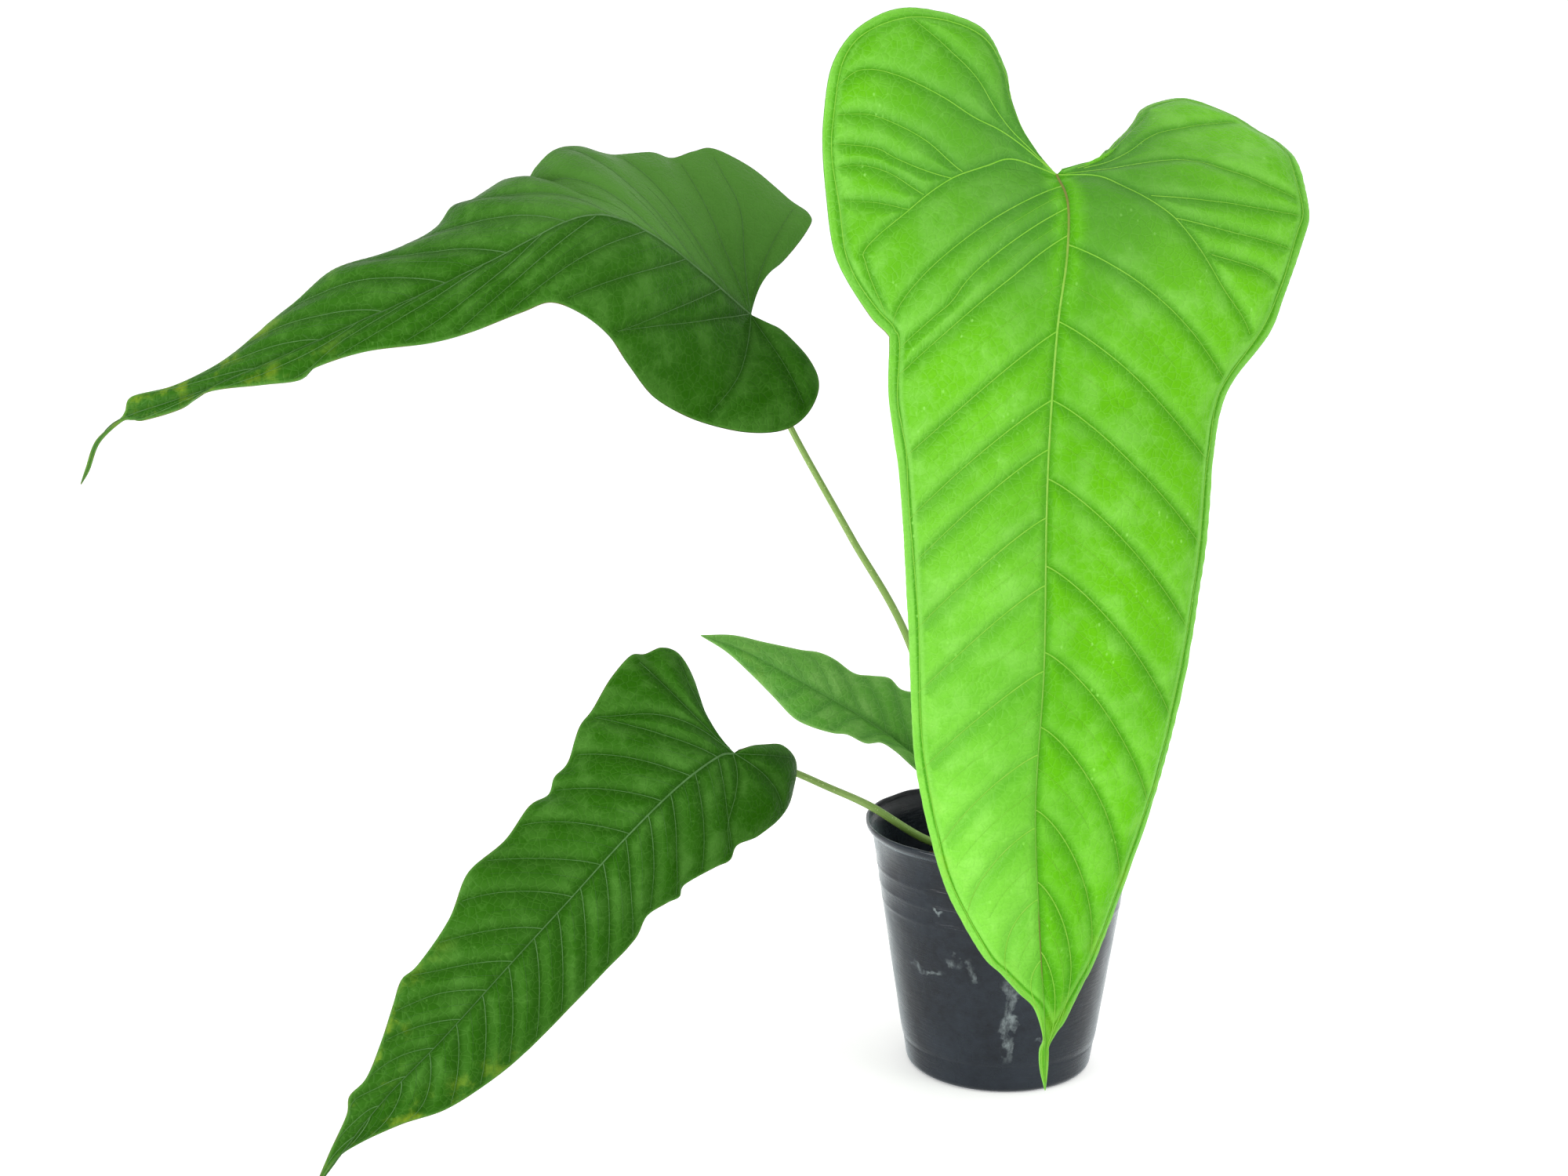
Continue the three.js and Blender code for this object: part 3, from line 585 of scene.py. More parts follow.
# ---------------------------------------------------------------- material helpers
class Graph:
    """Adds nodes to a material or a group, left to right, and joins them."""

    def __init__(self, tree):
        self.tree = tree
        self.made = 0

    def add(self, kind, inputs=(), **settings):
        node = self.tree.nodes.new(kind)
        node.location = (220 * (self.made // 4), -260 * (self.made % 4))
        self.made += 1
        for key, value in settings.items():
            setattr(node, key, value)
        for key, value in dict(inputs).items():
            self.put(node.inputs[key], value)
        return node

    def put(self, socket, value):
        if isinstance(value, bpy.types.NodeSocket):
            self.tree.links.new(value, socket)
        elif socket.type == "RGBA":
            socket.default_value = (*value, 1.0)
        else:
            socket.default_value = value

    def math(self, operation, a, b=0.0, clamp=False):
        node = self.add("ShaderNodeMath", {0: a, 1: b}, operation=operation, use_clamp=clamp)
        return node.outputs[0]

    def times(self, a, b):
        return self.math("MULTIPLY", a, b)

    def plus(self, a, b, clamp=False):
        return self.math("ADD", a, b, clamp)

    def fade(self, value, start, end, low=0.0, high=1.0):
        """`low` where the value is at its start, `high` at its end, and smooth between."""
        inputs = {"Value": value, "From Min": start, "From Max": end, "To Min": low, "To Max": high}
        return self.add("ShaderNodeMapRange", inputs, interpolation_type="SMOOTHSTEP").outputs[0]

    def mix(self, amount, a, b, blend="MIX"):
        node = self.add("ShaderNodeMix", data_type="RGBA", blend_type=blend)
        self.put(node.inputs[0], amount)
        self.put(node.inputs[6], a)
        self.put(node.inputs[7], b)
        return node.outputs[2]

    def place(self):
        return self.add("ShaderNodeTexCoord").outputs["Object"]

    def apart(self, vector):
        return self.add("ShaderNodeSeparateXYZ", {0: vector}).outputs

    def stretched(self, vector, scale):
        inputs = {0: vector, 1: scale}
        return self.add("ShaderNodeVectorMath", inputs, operation="MULTIPLY").outputs[0]

    def noise(self, vector, scale, detail=3.0, rough=0.55):
        inputs = {"Vector": vector, "Scale": scale, "Detail": detail, "Roughness": rough}
        return self.add("ShaderNodeTexNoise", inputs).outputs["Fac"]

    def cells(self, vector, scale, feature="F1"):
        inputs = {"Vector": vector, "Scale": scale}
        return self.add("ShaderNodeTexVoronoi", inputs, feature=feature).outputs["Distance"]

    def attribute(self, name):
        return self.add("ShaderNodeAttribute", attribute_name=name).outputs["Fac"]

    def group(self, tree, **inputs):
        node = self.add("ShaderNodeGroup", node_tree=tree)
        for key, value in inputs.items():
            self.put(node.inputs[key.replace("_", " ")], value)
        return node.outputs


def new_material(name):
    """A material with a Principled shader, its graph and that shader."""
    material = bpy.data.materials.new(name)
    material.use_nodes = True
    graph = Graph(material.node_tree)
    shader = material.node_tree.nodes["Principled BSDF"]
    shader.location = (1800, 0)
    material.node_tree.nodes["Material Output"].location = (2100, 0)
    return material, graph, shader


def finish(graph, shader, tone, rough, mirror=None):
    """The surface's tone, how rough it is and, if given, how much it mirrors."""
    graph.put(shader.inputs["Base Color"], tone)
    graph.put(shader.inputs["Roughness"], rough)
    if mirror is not None:
        shader.inputs["Specular IOR Level"].default_value = mirror


def bump(graph, shader, height, distance, strength=1.0):
    inputs = {"Height": height, "Distance": distance, "Strength": strength}
    graph.put(shader.inputs["Normal"], graph.add("ShaderNodeBump", inputs).outputs[0])


def new_group(name, inputs, outputs):
    """An empty shader group with named sockets, and its graph. Built once."""
    tree = bpy.data.node_groups.new(name, "ShaderNodeTree")
    for key, (kind, default) in inputs.items():
        socket = tree.interface.new_socket(key, in_out="INPUT", socket_type="NodeSocket" + kind)
        socket.default_value = (*default, 1.0) if kind == "Color" else default
    for key, kind in outputs.items():
        tree.interface.new_socket(key, in_out="OUTPUT", socket_type="NodeSocket" + kind)
    graph = Graph(tree)
    start = graph.add("NodeGroupInput")
    end = graph.add("NodeGroupOutput")
    end.location = (2400, 0)
    return tree, graph, start.outputs, end.inputs


def leaf_skin_group():
    """Green leaf tissue, finely netted and flecked; painted shade by the veins, painted sheen on
    panels.
    """
    name = "Leaf skin"
    if name in bpy.data.node_groups:
        return bpy.data.node_groups[name]
    tree, graph, given, out = new_group(
        name,
        {
            "Main": ("Color", (0.2, 0.5, 0.1)), "Deep": ("Color", (0.1, 0.3, 0.05)),
            "Pale": ("Color", (0.4, 0.7, 0.3)), "Yellow": ("Color", (0.5, 0.5, 0.1)),
            "Pale half": ("Float", 0.5), "Yellowing": ("Float", 0.0), "Flecks": ("Float", 0.5),
            "Relief": ("Float", 0.5), "Fold": ("Float", 0.0),
        },
        {"Color": "Color", "Height": "Float", "Roughness": "Float"},
    )
    place = graph.place()
    vein = graph.attribute("to_vein")
    half = graph.attribute("half")
    edge = graph.attribute("to_edge")
    reach = graph.attribute("reach")
    broad = graph.noise(place, 22.0, 2.0)
    patch = graph.noise(place, 75.0, 4.0, 0.6)
    fine = graph.noise(place, 900.0, 3.0, 0.7)
    # painted shade: the Deep colour beside the veins, giving way to Main on the panels between them
    panel = graph.fade(graph.plus(vein, graph.times(patch, 1.5)), 0.3, 5.0)
    tone = graph.mix(panel, given["Deep"], given["Main"])
    # painted sheen: one half paler towards the tip, and pale patches on the panels, mixed towards Pale
    painted_half_sheen = graph.times(graph.fade(half, 0.55, 0.35), given["Pale half"])
    painted_half_sheen = graph.times(painted_half_sheen, graph.fade(reach, 0.1, 0.95, 0.05, 1.0))
    sheen_patches = graph.times(graph.fade(patch, 0.42, 0.68), 0.5)
    light = graph.plus(painted_half_sheen, graph.times(sheen_patches, panel), clamp=True)
    tone = graph.mix(light, tone, given["Pale"])
    tone = graph.mix(graph.fade(broad, 0.35, 0.75, 0.0, 0.35), tone, given["Deep"])
    # painted shade on the tip's side of each vein and a painted highlight on its other side
    side = graph.attribute("tip_side")
    painted_vein_shade = graph.times(graph.fade(side, 0.08, 0.8), given["Relief"])
    tone = graph.mix(painted_vein_shade, tone, given["Deep"])
    painted_highlight = graph.times(graph.fade(side, -0.1, -0.7), given["Relief"])
    tone = graph.mix(graph.times(painted_highlight, 0.6), tone, given["Pale"])
    # turned margin band: paler outside, a painted highlight on its crest, painted shade in its crease
    band = graph.times(given["Fold"], graph.fade(reach, -0.1, 0.25, 0.3, 1.0))
    outer = graph.times(graph.fade(edge, 3.6, 2.2, 0.0, 0.4), band)
    tone = graph.mix(outer, tone, given["Pale"])
    painted_highlight = graph.times(graph.fade(edge, 4.4, 5.2), graph.fade(edge, 7.5, 5.6, 0.0, 0.55))
    tone = graph.mix(graph.times(painted_highlight, band), tone, given["Pale"])
    crease = graph.times(graph.fade(edge, 2.9, 3.8), graph.fade(edge, 4.9, 4.0))
    tone = graph.mix(graph.times(crease, band), tone, given["Deep"])
    net = graph.cells(place, 330.0, "DISTANCE_TO_EDGE")
    lines = graph.fade(net, 0.07, 0.0, 0.0, 0.22)
    tone = graph.mix(lines, tone, given["Pale"])
    tone = graph.mix(graph.fade(fine, 0.35, 0.7, 0.0, 0.14), tone, given["Deep"])
    old = graph.times(graph.fade(edge, 13.0, 1.5), graph.fade(patch, 0.48, 0.68))
    old = graph.times(old, graph.fade(reach, 0.45, 0.8))
    tone = graph.mix(graph.times(old, given["Yellowing"]), tone, given["Yellow"])
    specks = graph.fade(graph.cells(graph.stretched(place, (1.0, 1.0, 0.7)), 300.0), 0.2, 0.08)
    rare = graph.fade(graph.noise(place, 60.0, 3.0), 0.54, 0.64)
    specks = graph.times(graph.times(specks, rare), given["Flecks"])
    tone = graph.mix(specks, tone, given["Pale"])
    graph.put(out["Color"], tone)
    height = graph.times(graph.fade(net, 0.0, 0.18), 0.5)
    height = graph.plus(height, graph.times(fine, 0.35))
    graph.put(out["Height"], graph.plus(height, graph.times(patch, 0.8)))
    graph.put(out["Roughness"], graph.fade(patch, 0.3, 0.7, 0.36, 0.5))
    return tree


def mottle_group():
    """Two tones broken up at a coarse and a fine scale, with the height that goes with them."""
    name = "Mottle"
    if name in bpy.data.node_groups:
        return bpy.data.node_groups[name]
    tree, graph, given, out = new_group(
        name,
        {
            "Dark": ("Color", (0.05, 0.05, 0.05)), "Light": ("Color", (0.3, 0.3, 0.3)),
            "Size": ("Float", 100.0), "Contrast": ("Float", 0.5),
        },
        {"Color": "Color", "Height": "Float", "Mask": "Float"},
    )
    place = graph.place()
    coarse = graph.noise(place, given["Size"], 4.0, 0.6)
    grit = graph.noise(place, graph.times(given["Size"], 9.0), 3.0, 0.7)
    both = graph.plus(graph.times(coarse, 0.65), graph.times(grit, 0.35))
    softness = graph.times(graph.math("SUBTRACT", 1.0, given["Contrast"]), 0.4)
    low = graph.math("SUBTRACT", 0.5, softness)
    high = graph.math("SUBTRACT", 1.0, low)
    mask = graph.fade(both, low, high)
    graph.put(out["Color"], graph.mix(mask, given["Dark"], given["Light"]))
    graph.put(out["Height"], both)
    graph.put(out["Mask"], mask)
    return tree


def mottled(graph, dark, light, size, contrast):
    return graph.group(mottle_group(), Dark=dark, Light=light, Size=size, Contrast=contrast)


# ---------------------------------------------------------------- pot
def wall_radius(pot, z):
    straight = pot.height - pot.lip_height
    return pot.base_radius + (pot.rim_radius - pot.lip_reach - pot.base_radius) * z / straight


def pot_profile(pot):
    """The wall's outline in millimetres, from the floor's middle out, up, over the lip and down."""
    height, corner, foot = pot.height, pot.corner, pot.foot_height
    points = [(0, 0), (pot.base_radius * 0.3, 0), (pot.base_radius * 0.7, 0)]
    for angle in np.linspace(0, math.pi / 2, 7):
        up = corner * (1 - math.cos(angle))
        points.append((wall_radius(pot, up) - pot.foot_step - corner * (1 - math.sin(angle)), up))
    for z in np.linspace(corner * 1.5, foot, 6):
        points.append((wall_radius(pot, z) - pot.foot_step, z))
    points.append((wall_radius(pot, foot) - pot.foot_step * 1.1, foot + 0.3 * MM))
    points.append((wall_radius(pot, foot), foot + 1.1 * MM))
    middles = [height - pot.ring_drop - i * pot.ring_pitch for i in range(pot.ring_count)][::-1]
    lowest = middles[0] - pot.ring_height if middles else height - pot.ring_drop
    for z in np.linspace(foot + 4 * MM, lowest, 12):
        points.append((wall_radius(pot, z), z))
    for middle in middles:
        for angle in np.linspace(-1, 1, 7):
            z = middle + angle * pot.ring_height / 2
            rise = pot.ring_rise * (1 - angle * angle)
            points.append((wall_radius(pot, z) + rise, z))
        points.append((wall_radius(pot, middle + pot.ring_pitch / 2), middle + pot.ring_pitch / 2))
    lip_start = height - pot.lip_height
    for t in np.linspace(0, 1, 9):
        flare = pot.lip_reach * (1 - (1 - t) ** 2) ** 1.2
        rise = (pot.lip_height - 1 * MM) * t
        points.append((wall_radius(pot, lip_start) + flare, lip_start + rise))
    for angle in np.linspace(0.3, math.pi - 0.3, 6):
        middle = pot.rim_radius - pot.wall / 2
        rounded = 0.65 * MM * (math.sin(angle) - 1)
        points.append((middle + pot.wall / 2 * math.cos(angle), height + rounded))
    for t in np.linspace(0.2, 1, 5):
        inner = pot.rim_radius - pot.wall - (pot.lip_reach - 0.4 * MM) * t * t
        points.append((inner, height - 1 * MM - (pot.lip_height - 1 * MM) * t))
    for z in np.linspace(lip_start - 4 * MM, pot.floor + 2 * MM, 14):
        points.append((wall_radius(pot, z) - pot.wall, z))
    points.append((wall_radius(pot, pot.floor) - pot.wall - 1 * MM, pot.floor))
    points += [(pot.base_radius * 0.6, pot.floor), (0, pot.floor)]
    return [(radius / MM, z / MM) for radius, z in points]


def pot_material(pot):
    material, graph, shader = new_material("Pot plastic")
    place = graph.place()
    scuffed = mottled(graph, pot.plastic, pot.worn, 34.0, 0.25)
    tone = scuffed["Color"]
    x, y, z = graph.apart(place)
    # paler towards the bottom of the wall, mixed towards the worn colour
    paler_low = graph.times(graph.fade(z, 0.03, 0.0), graph.noise(place, 60.0, 4.0))
    tone = graph.mix(graph.times(paler_low, 0.7), tone, pot.worn)
    # dried lime: thin runs down the wall and small smudges, each at (x, z, half width, half height)
    wet = graph.noise(graph.stretched(place, (1.0, 1.0, 0.35)), 260.0, 5.0, 0.7)
    crust = graph.noise(place, 700.0, 3.0, 0.75)
    front = graph.fade(y, 0.0, -0.01)
    marks = None
    inputs = {"Vector": place, "Scale": 150.0, "Detail": 3.0}
    stray = graph.add("ShaderNodeTexNoise", inputs).outputs["Color"]
    bent = graph.apart(stray)
    x = graph.plus(x, graph.times(graph.math("SUBTRACT", bent[0], 0.5), 0.014))
    z = graph.plus(z, graph.times(graph.math("SUBTRACT", bent[1], 0.5), 0.014))
    for at_x, at_z, wide, high, much in (
        (-0.0005, 0.036, 0.0026, 0.019, 0.75), (0.0025, 0.051, 0.007, 0.0045, 0.75),
        (-0.024, 0.061, 0.0035, 0.0025, 0.6), (-0.0165, 0.058, 0.002, 0.005, 0.55),
        (-0.035, 0.054, 0.008, 0.0016, 0.5), (-0.031, 0.083, 0.0016, 0.0014, 0.8),
        (0.014, 0.024, 0.0018, 0.0012, 0.5), (0.03, 0.062, 0.004, 0.004, 0.3),
    ):
        dx = graph.math("DIVIDE", graph.math("SUBTRACT", x, at_x), wide)
        dz = graph.math("DIVIDE", graph.math("SUBTRACT", z, at_z), high)
        far = graph.plus(graph.times(dx, dx), graph.times(dz, dz))
        spot = graph.times(graph.fade(far, 1.6, 0.0), much)
        marks = spot if marks is None else graph.math("MAXIMUM", marks, spot)
    marks = graph.times(graph.times(marks, front), graph.fade(wet, 0.34, 0.66))
    around = graph.noise(graph.stretched(place, (1.0, 1.0, 0.12)), 130.0, 4.0, 0.6)
    runs = graph.times(graph.fade(around, 0.66, 0.78), graph.fade(z, 0.1, 0.03, 0.0, 0.3))
    marks = graph.math("MAXIMUM", marks, graph.times(runs, graph.fade(wet, 0.45, 0.6)))
    marks = graph.times(marks, graph.fade(crust, 0.3, 0.55, 0.45, 1.0))
    tone = graph.mix(marks, tone, pot.scale)
    # painted reflection: paler towards the sheen colour where the wall is seen edge-on
    facing = graph.add("ShaderNodeLayerWeight", {"Blend": 0.35}).outputs["Facing"]
    tone = graph.mix(graph.fade(facing, 0.4, 1.0, 0.0, 0.7), tone, pot.painted_sheen)
    graph.put(shader.inputs["Base Color"], tone)
    rough = graph.fade(graph.noise(place, 90.0, 4.0), 0.3, 0.7, 0.22, 0.34)
    graph.put(shader.inputs["Roughness"], graph.plus(rough, graph.times(marks, 0.4)))
    shader.inputs["Specular IOR Level"].default_value = 0.22
    streak = graph.noise(graph.stretched(place, (1.0, 1.0, 9.0)), 110.0, 3.0)
    height = graph.plus(graph.times(streak, 0.5), graph.times(graph.noise(place, 55.0, 3.0), 0.9))
    height = graph.plus(height, graph.times(marks, 0.4))
    bump(graph, shader, height, 0.0012, 0.35)
    return material


def make_pot(pot):
    build = Build()
    straight = pot.height / MM

    def uneven(ring):
        """The soft lip is dented and wavy; the lower wall stays round."""
        moved = ring.copy()
        for corner in moved:
            height = corner[2] / straight
            angle = math.atan2(corner[1], corner[0])
            loose = smooth_step((height - 0.45) / 0.55) * pot.dent / MM
            wave = wander((math.cos(angle) * 1.7, math.sin(angle) * 1.7, 0.0), 1.0, 4.1)
            tight = wander((math.cos(angle) * 5, math.sin(angle) * 5, height * 2), 1.0, 9.3)
            radius = math.hypot(corner[0], corner[1])
            reach = 1 + loose * (1.1 * wave + 0.45 * tight) / radius
            corner[:2] *= reach
            corner[2] += loose * 0.55 * tight * smooth_step((height - 0.9) / 0.1)
        return moved

    turned_profile(build, pot_profile(pot), 192, uneven)
    piece = build.object("nursery_pot_moulded", [pot_material(pot)])
    cutter = Build()
    for i in range(pot.drain_count):
        angle = 2 * math.pi * (i + 0.5) / pot.drain_count
        middle = np.array([math.cos(angle), math.sin(angle)]) * pot.drain_circle / MM
        heights = (-2.0, pot.floor / MM + 2.0)
        path = [(middle[0], middle[1], z) for z in np.linspace(*heights, 4)]
        tube(cutter, path, pot.drain_radius / MM, 28)
    holes = cutter.object("holes", [])
    cut = piece.modifiers.new("drain", "BOOLEAN")
    cut.operation = "DIFFERENCE"
    cut.solver = "EXACT"
    cut.object = holes
    depsgraph = bpy.context.evaluated_depsgraph_get()
    made = bpy.data.meshes.new_from_object(piece.evaluated_get(depsgraph))
    piece.modifiers.clear()
    piece.data = made
    made.name = "nursery_pot_moulded"
    bpy.data.objects.remove(holes)
    made.shade_smooth()
    made.set_sharp_from_angle(angle=math.radians(50))
    finish_piece(piece, "nursery_pot")


# ---------------------------------------------------------------- potting mix
def mix_material(mix):
    material, graph, shader = new_material("Potting mix")
    earth = mottled(graph, mix.dark, mix.pale, 170.0, 0.6)
    film = graph.fade(graph.noise(graph.place(), 45.0, 3.0), 0.52, 0.66, 0.0, 0.6)
    finish(
        graph, shader, graph.mix(film, earth["Color"], mix.moss),
        graph.fade(earth["Mask"], 0.0, 1.0, 0.78, 0.98),
    )
    bump(graph, shader, earth["Height"], 0.003, 0.8)
    return material


def bark_material(mix):
    material, graph, shader = new_material("Bark chips")
    grain = graph.noise(graph.stretched(graph.place(), (1.0, 0.35, 2.4)), 420.0, 4.0, 0.65)
    flaky = mottled(graph, mix.dark, mix.bark, 260.0, 0.5)
    shade = graph.mix(graph.fade(grain, 0.35, 0.65, 0.0, 0.5), flaky["Color"], mix.pale)
    finish(graph, shader, shade, graph.fade(grain, 0.3, 0.7, 0.7, 0.92))
    bump(graph, shader, grain, 0.0012, 0.7)
    return material


def pumice_material(mix):
    material, graph, shader = new_material("Pumice grains")
    pits = graph.cells(graph.place(), 900.0)
    tone = graph.mix(graph.fade(pits, 0.0, 0.5), mix.pale, mix.grain)
    finish(graph, shader, tone, graph.fade(pits, 0.0, 0.6, 0.95, 0.8))
    bump(graph, shader, pits, 0.0008, 0.8)
    return material


FLAT_CRUMB = 0.6  # a lump thinner than this share of its length lies nearly flat


def crumb(build, chance, centre, sizes, material):
    """One irregular lump: a coarse ball, stretched, broken and turned."""
    rings, sides = 4, 7
    turn = np.array([[chance.gauss(0, 1) for _ in range(3)] for _ in range(3)])
    axes, _ = np.linalg.qr(turn)
    if sizes[2] < sizes[0] * FLAT_CRUMB:
        lean = chance.uniform(-0.5, 0.5)
        spin = chance.uniform(0, 2 * math.pi)
        across, along = math.cos(spin), math.sin(spin)
        level, raised = math.cos(lean), math.sin(lean)
        axes = np.array([[across, -along, 0], [along, across, 0], [0, 0, 1]])
        axes = axes @ np.array([[1, 0, 0], [0, level, -raised], [0, raised, level]])
    rows = []
    for i in range(rings + 1):
        polar = math.pi * i / rings
        if i in (0, rings):
            corner = np.array([0, 0, math.cos(polar)]) * sizes
            number = build.points(corner @ axes.T + centre)[0]
            rows.append(np.full(sides, number))
            continue
        ring = []
        for k in range(sides):
            angle = 2 * math.pi * (k + chance.uniform(-0.3, 0.3)) / sides
            out = chance.uniform(0.75, 1.2)
            ring.append((
                math.sin(polar) * math.cos(angle) * out, math.sin(polar) * math.sin(angle) * out,
                math.cos(polar) * chance.uniform(0.8, 1.1),
            ))
        rows.append(build.points((np.array(ring) * sizes) @ axes.T + centre))
    build.grid(rows, material, closed=True)


def make_mix(pot, mix, crown):
    chance = random.Random(5)
    soil_edge = (pot.height - mix.drop) / MM
    rise = mix.mound / MM
    gap = 0.35

    def wall(z):
        return (wall_radius(pot, z * MM) - pot.wall) / MM - gap

    outer = wall(soil_edge)

    def surface(x, y):
        radius = math.hypot(x, y)
        height = soil_edge + rise * (1 - radius / outer)
        height += 1.3 * wander((x, y, 0), 9.0, 2.0) + 0.7 * wander((x, y, 0), 3.5, 7.0)
        return height - 1.5 * smooth_step((radius - outer + 6) / 6)

    build = Build()
    sides = 120
    angles = np.linspace(0, 2 * math.pi, sides, endpoint=False)

    def circle(radius, height=None):
        places = [(radius * math.cos(a), radius * math.sin(a)) for a in angles]
        return build.points([(x, y, surface(x, y) if height is None else height) for x, y in places])

    rows = [np.full(sides, build.points((0, 0, surface(0, 0)))[0])]
    for radius in np.linspace(outer / 40, outer, 40):
        rows.append(circle(radius))
    bottom = pot.floor / MM + gap
    for z in np.linspace(soil_edge - 6, bottom, 9):
        rows.append(circle(wall(z) - 0.1, z))
    for radius in (outer * 0.5, outer * 0.25):
        rows.append(circle(radius, bottom))
    rows.append(np.full(sides, build.points((0, 0, bottom))[0]))
    build.grid(rows, 0, closed=True)
    inner = (crown.flare + crown.cap) / MM + 4.5
    size = mix.chip_size / MM

    def anywhere():
        """An even chance of any place between the crown and the wall."""
        radius = math.sqrt(chance.uniform(inner ** 2, (outer - 2.5) ** 2))
        angle = chance.uniform(0, 2 * math.pi)
        return radius * math.cos(angle), radius * math.sin(angle)

    for _ in range(mix.chips):
        x, y = anywhere()
        long = size * chance.uniform(0.35, 1.0)
        width, height = chance.uniform(0.25, 0.45), chance.uniform(0.12, 0.25)
        sizes = np.array([long * 0.55, long * width, long * height])
        crumb(build, chance, np.array([x, y, surface(x, y) + sizes[2] * 0.7]), sizes, 1)
    for _ in range(mix.pumice):
        x, y = anywhere()
        sizes = np.array([1.0, 0.9, 0.8]) * chance.uniform(0.6, 1.5)
        crumb(build, chance, np.array([x, y, surface(x, y) + 0.5]), sizes, 2)
    materials = [mix_material(mix), bark_material(mix), pumice_material(mix)]
    piece = build.object("potting_mix_bark", materials, sharp=60)
    finish_piece(piece, "potting_mix")


# ---------------------------------------------------------------- crown
def stalk_circle(stalk):
    return (2 * stalk.base_radius + stalk.gap) / (2 * math.sin(math.pi / len(LEAVES)))


def soil_top(crown):
    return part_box("crown")[0].z + crown.depth


def crown_material(crown):
    material, graph, shader = new_material("Crown skin")
    skin = mottled(graph, crown.scar, crown.skin, 150.0, 0.4)
    z = graph.apart(graph.place())[2]
    bands = graph.noise(graph.stretched(graph.place(), (0.3, 0.3, 3.0)), 330.0, 3.0)
    tone = graph.mix(graph.fade(bands, 0.5, 0.62, 0.0, 0.8), skin["Color"], crown.scar)
    top = soil_top(crown)
    tone = graph.mix(graph.fade(z, top + 0.004, top - 0.001, 0.0, 0.7), tone, crown.scar)
    finish(graph, shader, tone, graph.fade(skin["Mask"], 0.0, 1.0, 0.75, 0.5))
    bump(graph, shader, graph.plus(skin["Height"], bands), 0.0015, 0.6)
    return material


def sheath_material(crown):
    material, graph, shader = new_material("Papery sheath")
    fibre = graph.noise(graph.stretched(graph.place(), (1.0, 1.0, 0.15)), 900.0, 4.0, 0.7)
    tone = graph.mix(graph.fade(fibre, 0.35, 0.65), crown.scar, crown.sheath)
    finish(graph, shader, tone, graph.fade(fibre, 0.3, 0.7, 0.9, 0.7))
    bump(graph, shader, fibre, 0.0008, 0.7)
    return material


def root_material(crown):
    material, graph, shader = new_material("Root skin")
    skin = mottled(graph, crown.scar, crown.root, 220.0, 0.5)
    finish(graph, shader, skin["Color"], graph.fade(skin["Mask"], 0.0, 1.0, 0.85, 0.65))
    bump(graph, shader, skin["Height"], 0.001, 0.6)
    return material


def make_crown(crown, stalk):
    chance = random.Random(11)
    top = soil_top(crown) / MM
    ring = stalk_circle(stalk) / MM
    radius = ring + (stalk.base_radius + crown.cap) / MM
    buried = radius + crown.flare / MM
    rise, depth = crown.rise / MM, crown.depth / MM
    profile = [(0, -depth), (buried * 0.7, -depth), (buried, -depth * 0.6), (buried, -depth * 0.2)]
    for t in np.linspace(0, 1, 12):
        profile.append((buried + (radius - buried) * smooth_step(t), rise * 0.85 * t))
    profile += [(radius - 0.4, rise), (radius - 1.6, rise + 0.2)]
    profile += [(radius * 0.5, rise + 0.1), (0, rise)]
    build = Build()

    def lumpy(corners):
        moved = corners.copy()
        for corner in moved:
            knob = wander(corner, 4.5, 3.0) * 0.8 + wander(corner, 1.8, 8.0) * 0.35
            scar = 0.25 * math.sin(corner[2] * 2.6)
            corner[:2] *= 1 + (knob + scar - 0.35) / max(math.hypot(*corner[:2]), 1)
            corner[2] = min(corner[2], rise + 0.2) + top
        return moved

    turned_profile(build, [(max(r, 0.01), z) for r, z in profile], 72, lumpy)
    # dry sheaths stand around the stalks, curling out at their tips
    for k, bearing in enumerate((20, 112, 205, 288)):
        angle = math.radians(bearing)
        tall = (9, 13, 11, 8)[k]
        rows = []
        for t in np.linspace(0, 1, 14):
            wide = math.radians(38) * (1 - t) ** 0.6 + 0.02
            out = radius + 0.25 - 0.6 * math.sin(math.pi * t * 0.6) + 1.5 * t ** 3
            row = []
            for s in np.linspace(-1, 1, 9):
                a = angle + wide * s + 0.05 * math.sin(7 * t + k)
                edge = out + 0.25 * s * s + 0.15 * wander((s * 3, t * 5, k), 1.0)
                height = top - 1 + tall * t + 0.3 * math.sin(5 * s)
                row.append((edge * math.cos(a), edge * math.sin(a), height))
            rows.append(build.points(row))
        build.grid(rows, 1)
    for bearing in (65, 160, 250, 335):
        angle = math.radians(bearing + chance.uniform(-10, 10))
        path = []
        for t in np.linspace(0, 1, 14):
            away = radius - 1 + 13 * t
            bent = angle + 0.25 * math.sin(3 * t)
            height = top + 1.5 + 1.6 * math.sin(2.6 * t) - 5.5 * t * t
            path.append((away * math.cos(bent), away * math.sin(bent), height))
        tube(build, path, np.linspace(1.05, 0.7, 14), 10, 2)
    materials = [crown_material(crown), sheath_material(crown), root_material(crown)]
    piece = build.object("crown_stem", materials)
    finish_piece(piece, "crown")


# ---------------------------------------------------------------- leaf blades
# each blade's share of the full quilting, of the turned edge and of the veins' width
QUILTED = {"front": 1.0, "upper": 0.85, "lower": 0.85, "small": 0.35}
TURNED = {"front": 1.0, "upper": 0.35, "lower": 0.35, "small": 0.35}
VEINED = {"front": 1.0, "upper": 0.85, "lower": 0.8, "small": 0.55}
